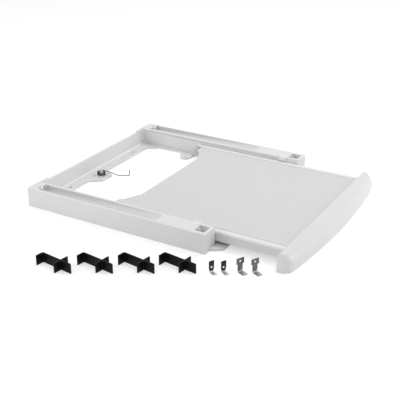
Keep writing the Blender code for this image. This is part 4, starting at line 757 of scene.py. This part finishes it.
def rounded_corner(before, corner, after):
    """The points of a bend in the wire, a curve from one leg to the other."""
    start = corner + (before - corner).normalized() * WIRE_BEND
    end = corner + (after - corner).normalized() * WIRE_BEND
    for i in range(BEND_POINTS + 1):
        share = i / BEND_POINTS
        yield start.lerp(corner, share).lerp(corner.lerp(end, share), share)


def coil_points(low):
    """The spring's coil, wound upwards round its post from where the tail meets it."""
    steps = round(COIL_TURNS * COIL_CURL_POINTS)
    for i in range(steps + 1):
        turn = COIL_TURNS * i / steps
        angle = math.pi / 2 - 2 * math.pi * turn
        x = CATCH_X + COIL_RADIUS * math.cos(angle)
        y = CATCH_Y + COIL_RADIUS * math.sin(angle)
        yield Vector((x, y, low + COIL_PITCH * turn))


def wire_points():
    """The spring's line: tail, coil, arm with its knee and elbow, and the upturned tip."""
    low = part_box("catch_spring")[0].z + WIRE_RADIUS
    tail_y = CATCH_Y + COIL_RADIUS
    points = [Vector((CATCH_X - TAIL_LENGTH * share, tail_y, low)) for share in TAIL_POINT_SHARES]
    points += coil_points(low)
    knee = Vector((*KNEE, ARM_HEIGHT))
    elbow = Vector((*ELBOW, ARM_HEIGHT))
    tip = Vector((*TIP, ARM_HEIGHT))
    top = Vector((*TIP, TIP_TOP))
    legs = [points[-1], knee, elbow, tip, top]
    for before, corner, after in zip(legs, legs[1:], legs[2:]):
        points += rounded_corner(before, corner, after)
    points.append(top)
    return points


def catch_wire():
    """The catch's spring wire, drawn round and even."""
    points = wire_points()
    edges = [(i, i + 1) for i in range(len(points) - 1)]
    sizes = {"Wire radius": WIRE_RADIUS, "Sides": WIRE_SIDES}
    piece = grow("catch_spring_wire", wire_tree(), points, edges, sizes, WIRE_STEEL)
    stand_in(piece, ["catch_spring"])


def seen_directly(tree):
    """1 for rays from the camera and for what gloss or glass shows, else 0."""
    rays = node(tree, "ShaderNodeLightPath").outputs
    first = node(tree, "ShaderNodeMath", {0: rays["Is Camera Ray"], 1: rays["Is Glossy Ray"]},
                 operation="MAXIMUM")
    return node(tree, "ShaderNodeMath", {0: first, 1: rays["Is Transmission Ray"]},
                operation="MAXIMUM")


def floor():
    """A pale floor that the camera sees nearly white and that keeps the object's shadow."""
    shape = bmesh.new()
    bmesh.ops.create_grid(shape, x_segments=1, y_segments=1, size=FLOOR_HALF)
    mesh = bpy.data.meshes.new("floor")
    shape.to_mesh(mesh)
    shape.free()
    plane = bpy.data.objects.new("floor", mesh)
    plane.location = (0, 0, -FLOOR_DROP)
    scene.collection.objects.link(plane)
    finish, tree, _ = new_finish("studio_floor_matt_paint")
    lit = node(tree, "ShaderNodeBsdfDiffuse", {"Color": linear(FLOOR_TONE)})
    shown = node(tree, "ShaderNodeBsdfDiffuse", {"Color": linear(FLOOR_SEEN_TONE)})
    glow = node(tree, "ShaderNodeEmission", {"Strength": FLOOR_GLOW})
    both = node(tree, "ShaderNodeAddShader", {0: shown, 1: glow})
    mix = node(tree, "ShaderNodeMixShader", {0: seen_directly(tree), 1: lit, 2: both})
    node(tree, "ShaderNodeOutputMaterial", {"Surface": mix})
    mesh.materials.append(finish)


def room():
    """Even light from all round, and a white background."""
    world = bpy.data.worlds.new("studio")
    scene.world = world
    world.use_nodes = True
    tree = world.node_tree
    tree.nodes.clear()
    light = node(tree, "ShaderNodeBackground", {"Color": linear(WHITE), "Strength": ROOM_LIGHT})
    shown = node(tree, "ShaderNodeBackground", {"Color": linear(WHITE), "Strength": BACKGROUND})
    mix = node(tree, "ShaderNodeMixShader", {0: seen_directly(tree), 1: light, 2: shown})
    node(tree, "ShaderNodeOutputWorld", {"Surface": mix})


def lamp(name, place, size, power):
    """A square soft light aimed at the object."""
    data = bpy.data.lights.new(name, "AREA")
    data.shape = "SQUARE"
    data.size = size
    data.energy = power
    light = bpy.data.objects.new(name, data)
    light.location = place
    light.rotation_euler = (Vector(LAMP_AIM) - Vector(place)).to_track_quat("-Z", "Y").to_euler()
    scene.collection.objects.link(light)


def camera():
    """The camera at the photograph's place and angle."""
    data = bpy.data.cameras.new("camera")
    data.sensor_width = SENSOR_WIDTH
    data.lens = FOCAL_PIXELS / IMAGE_SIZE * SENSOR_WIDTH
    eye = bpy.data.objects.new("camera", data)
    eye.location = CAMERA_PLACE
    eye.rotation_mode = "QUATERNION"
    look = Vector(CAMERA_LOOK).to_track_quat("-Z", "Y")
    eye.rotation_quaternion = look @ Quaternion((0, 0, 1), CAMERA_ROLL)
    scene.collection.objects.link(eye)
    scene.camera = eye


def dress():
    """Every CAD node gets rounded edges and its finish. Screws and spring wire are made anew."""
    for cad_node in sorted(frame["nodes"]):
        if "screw" in cad_node or cad_node == "catch_spring":
            continue
        soften(cad_node, *LOOKS[slot_of_node[cad_node]])
    screws()
    catch_wire()


camera()
room()
floor()
for lamp_name, (place, size, power) in LAMPS.items():
    lamp(lamp_name, place, size, power)
dress()
scene.view_settings.view_transform = "Standard"
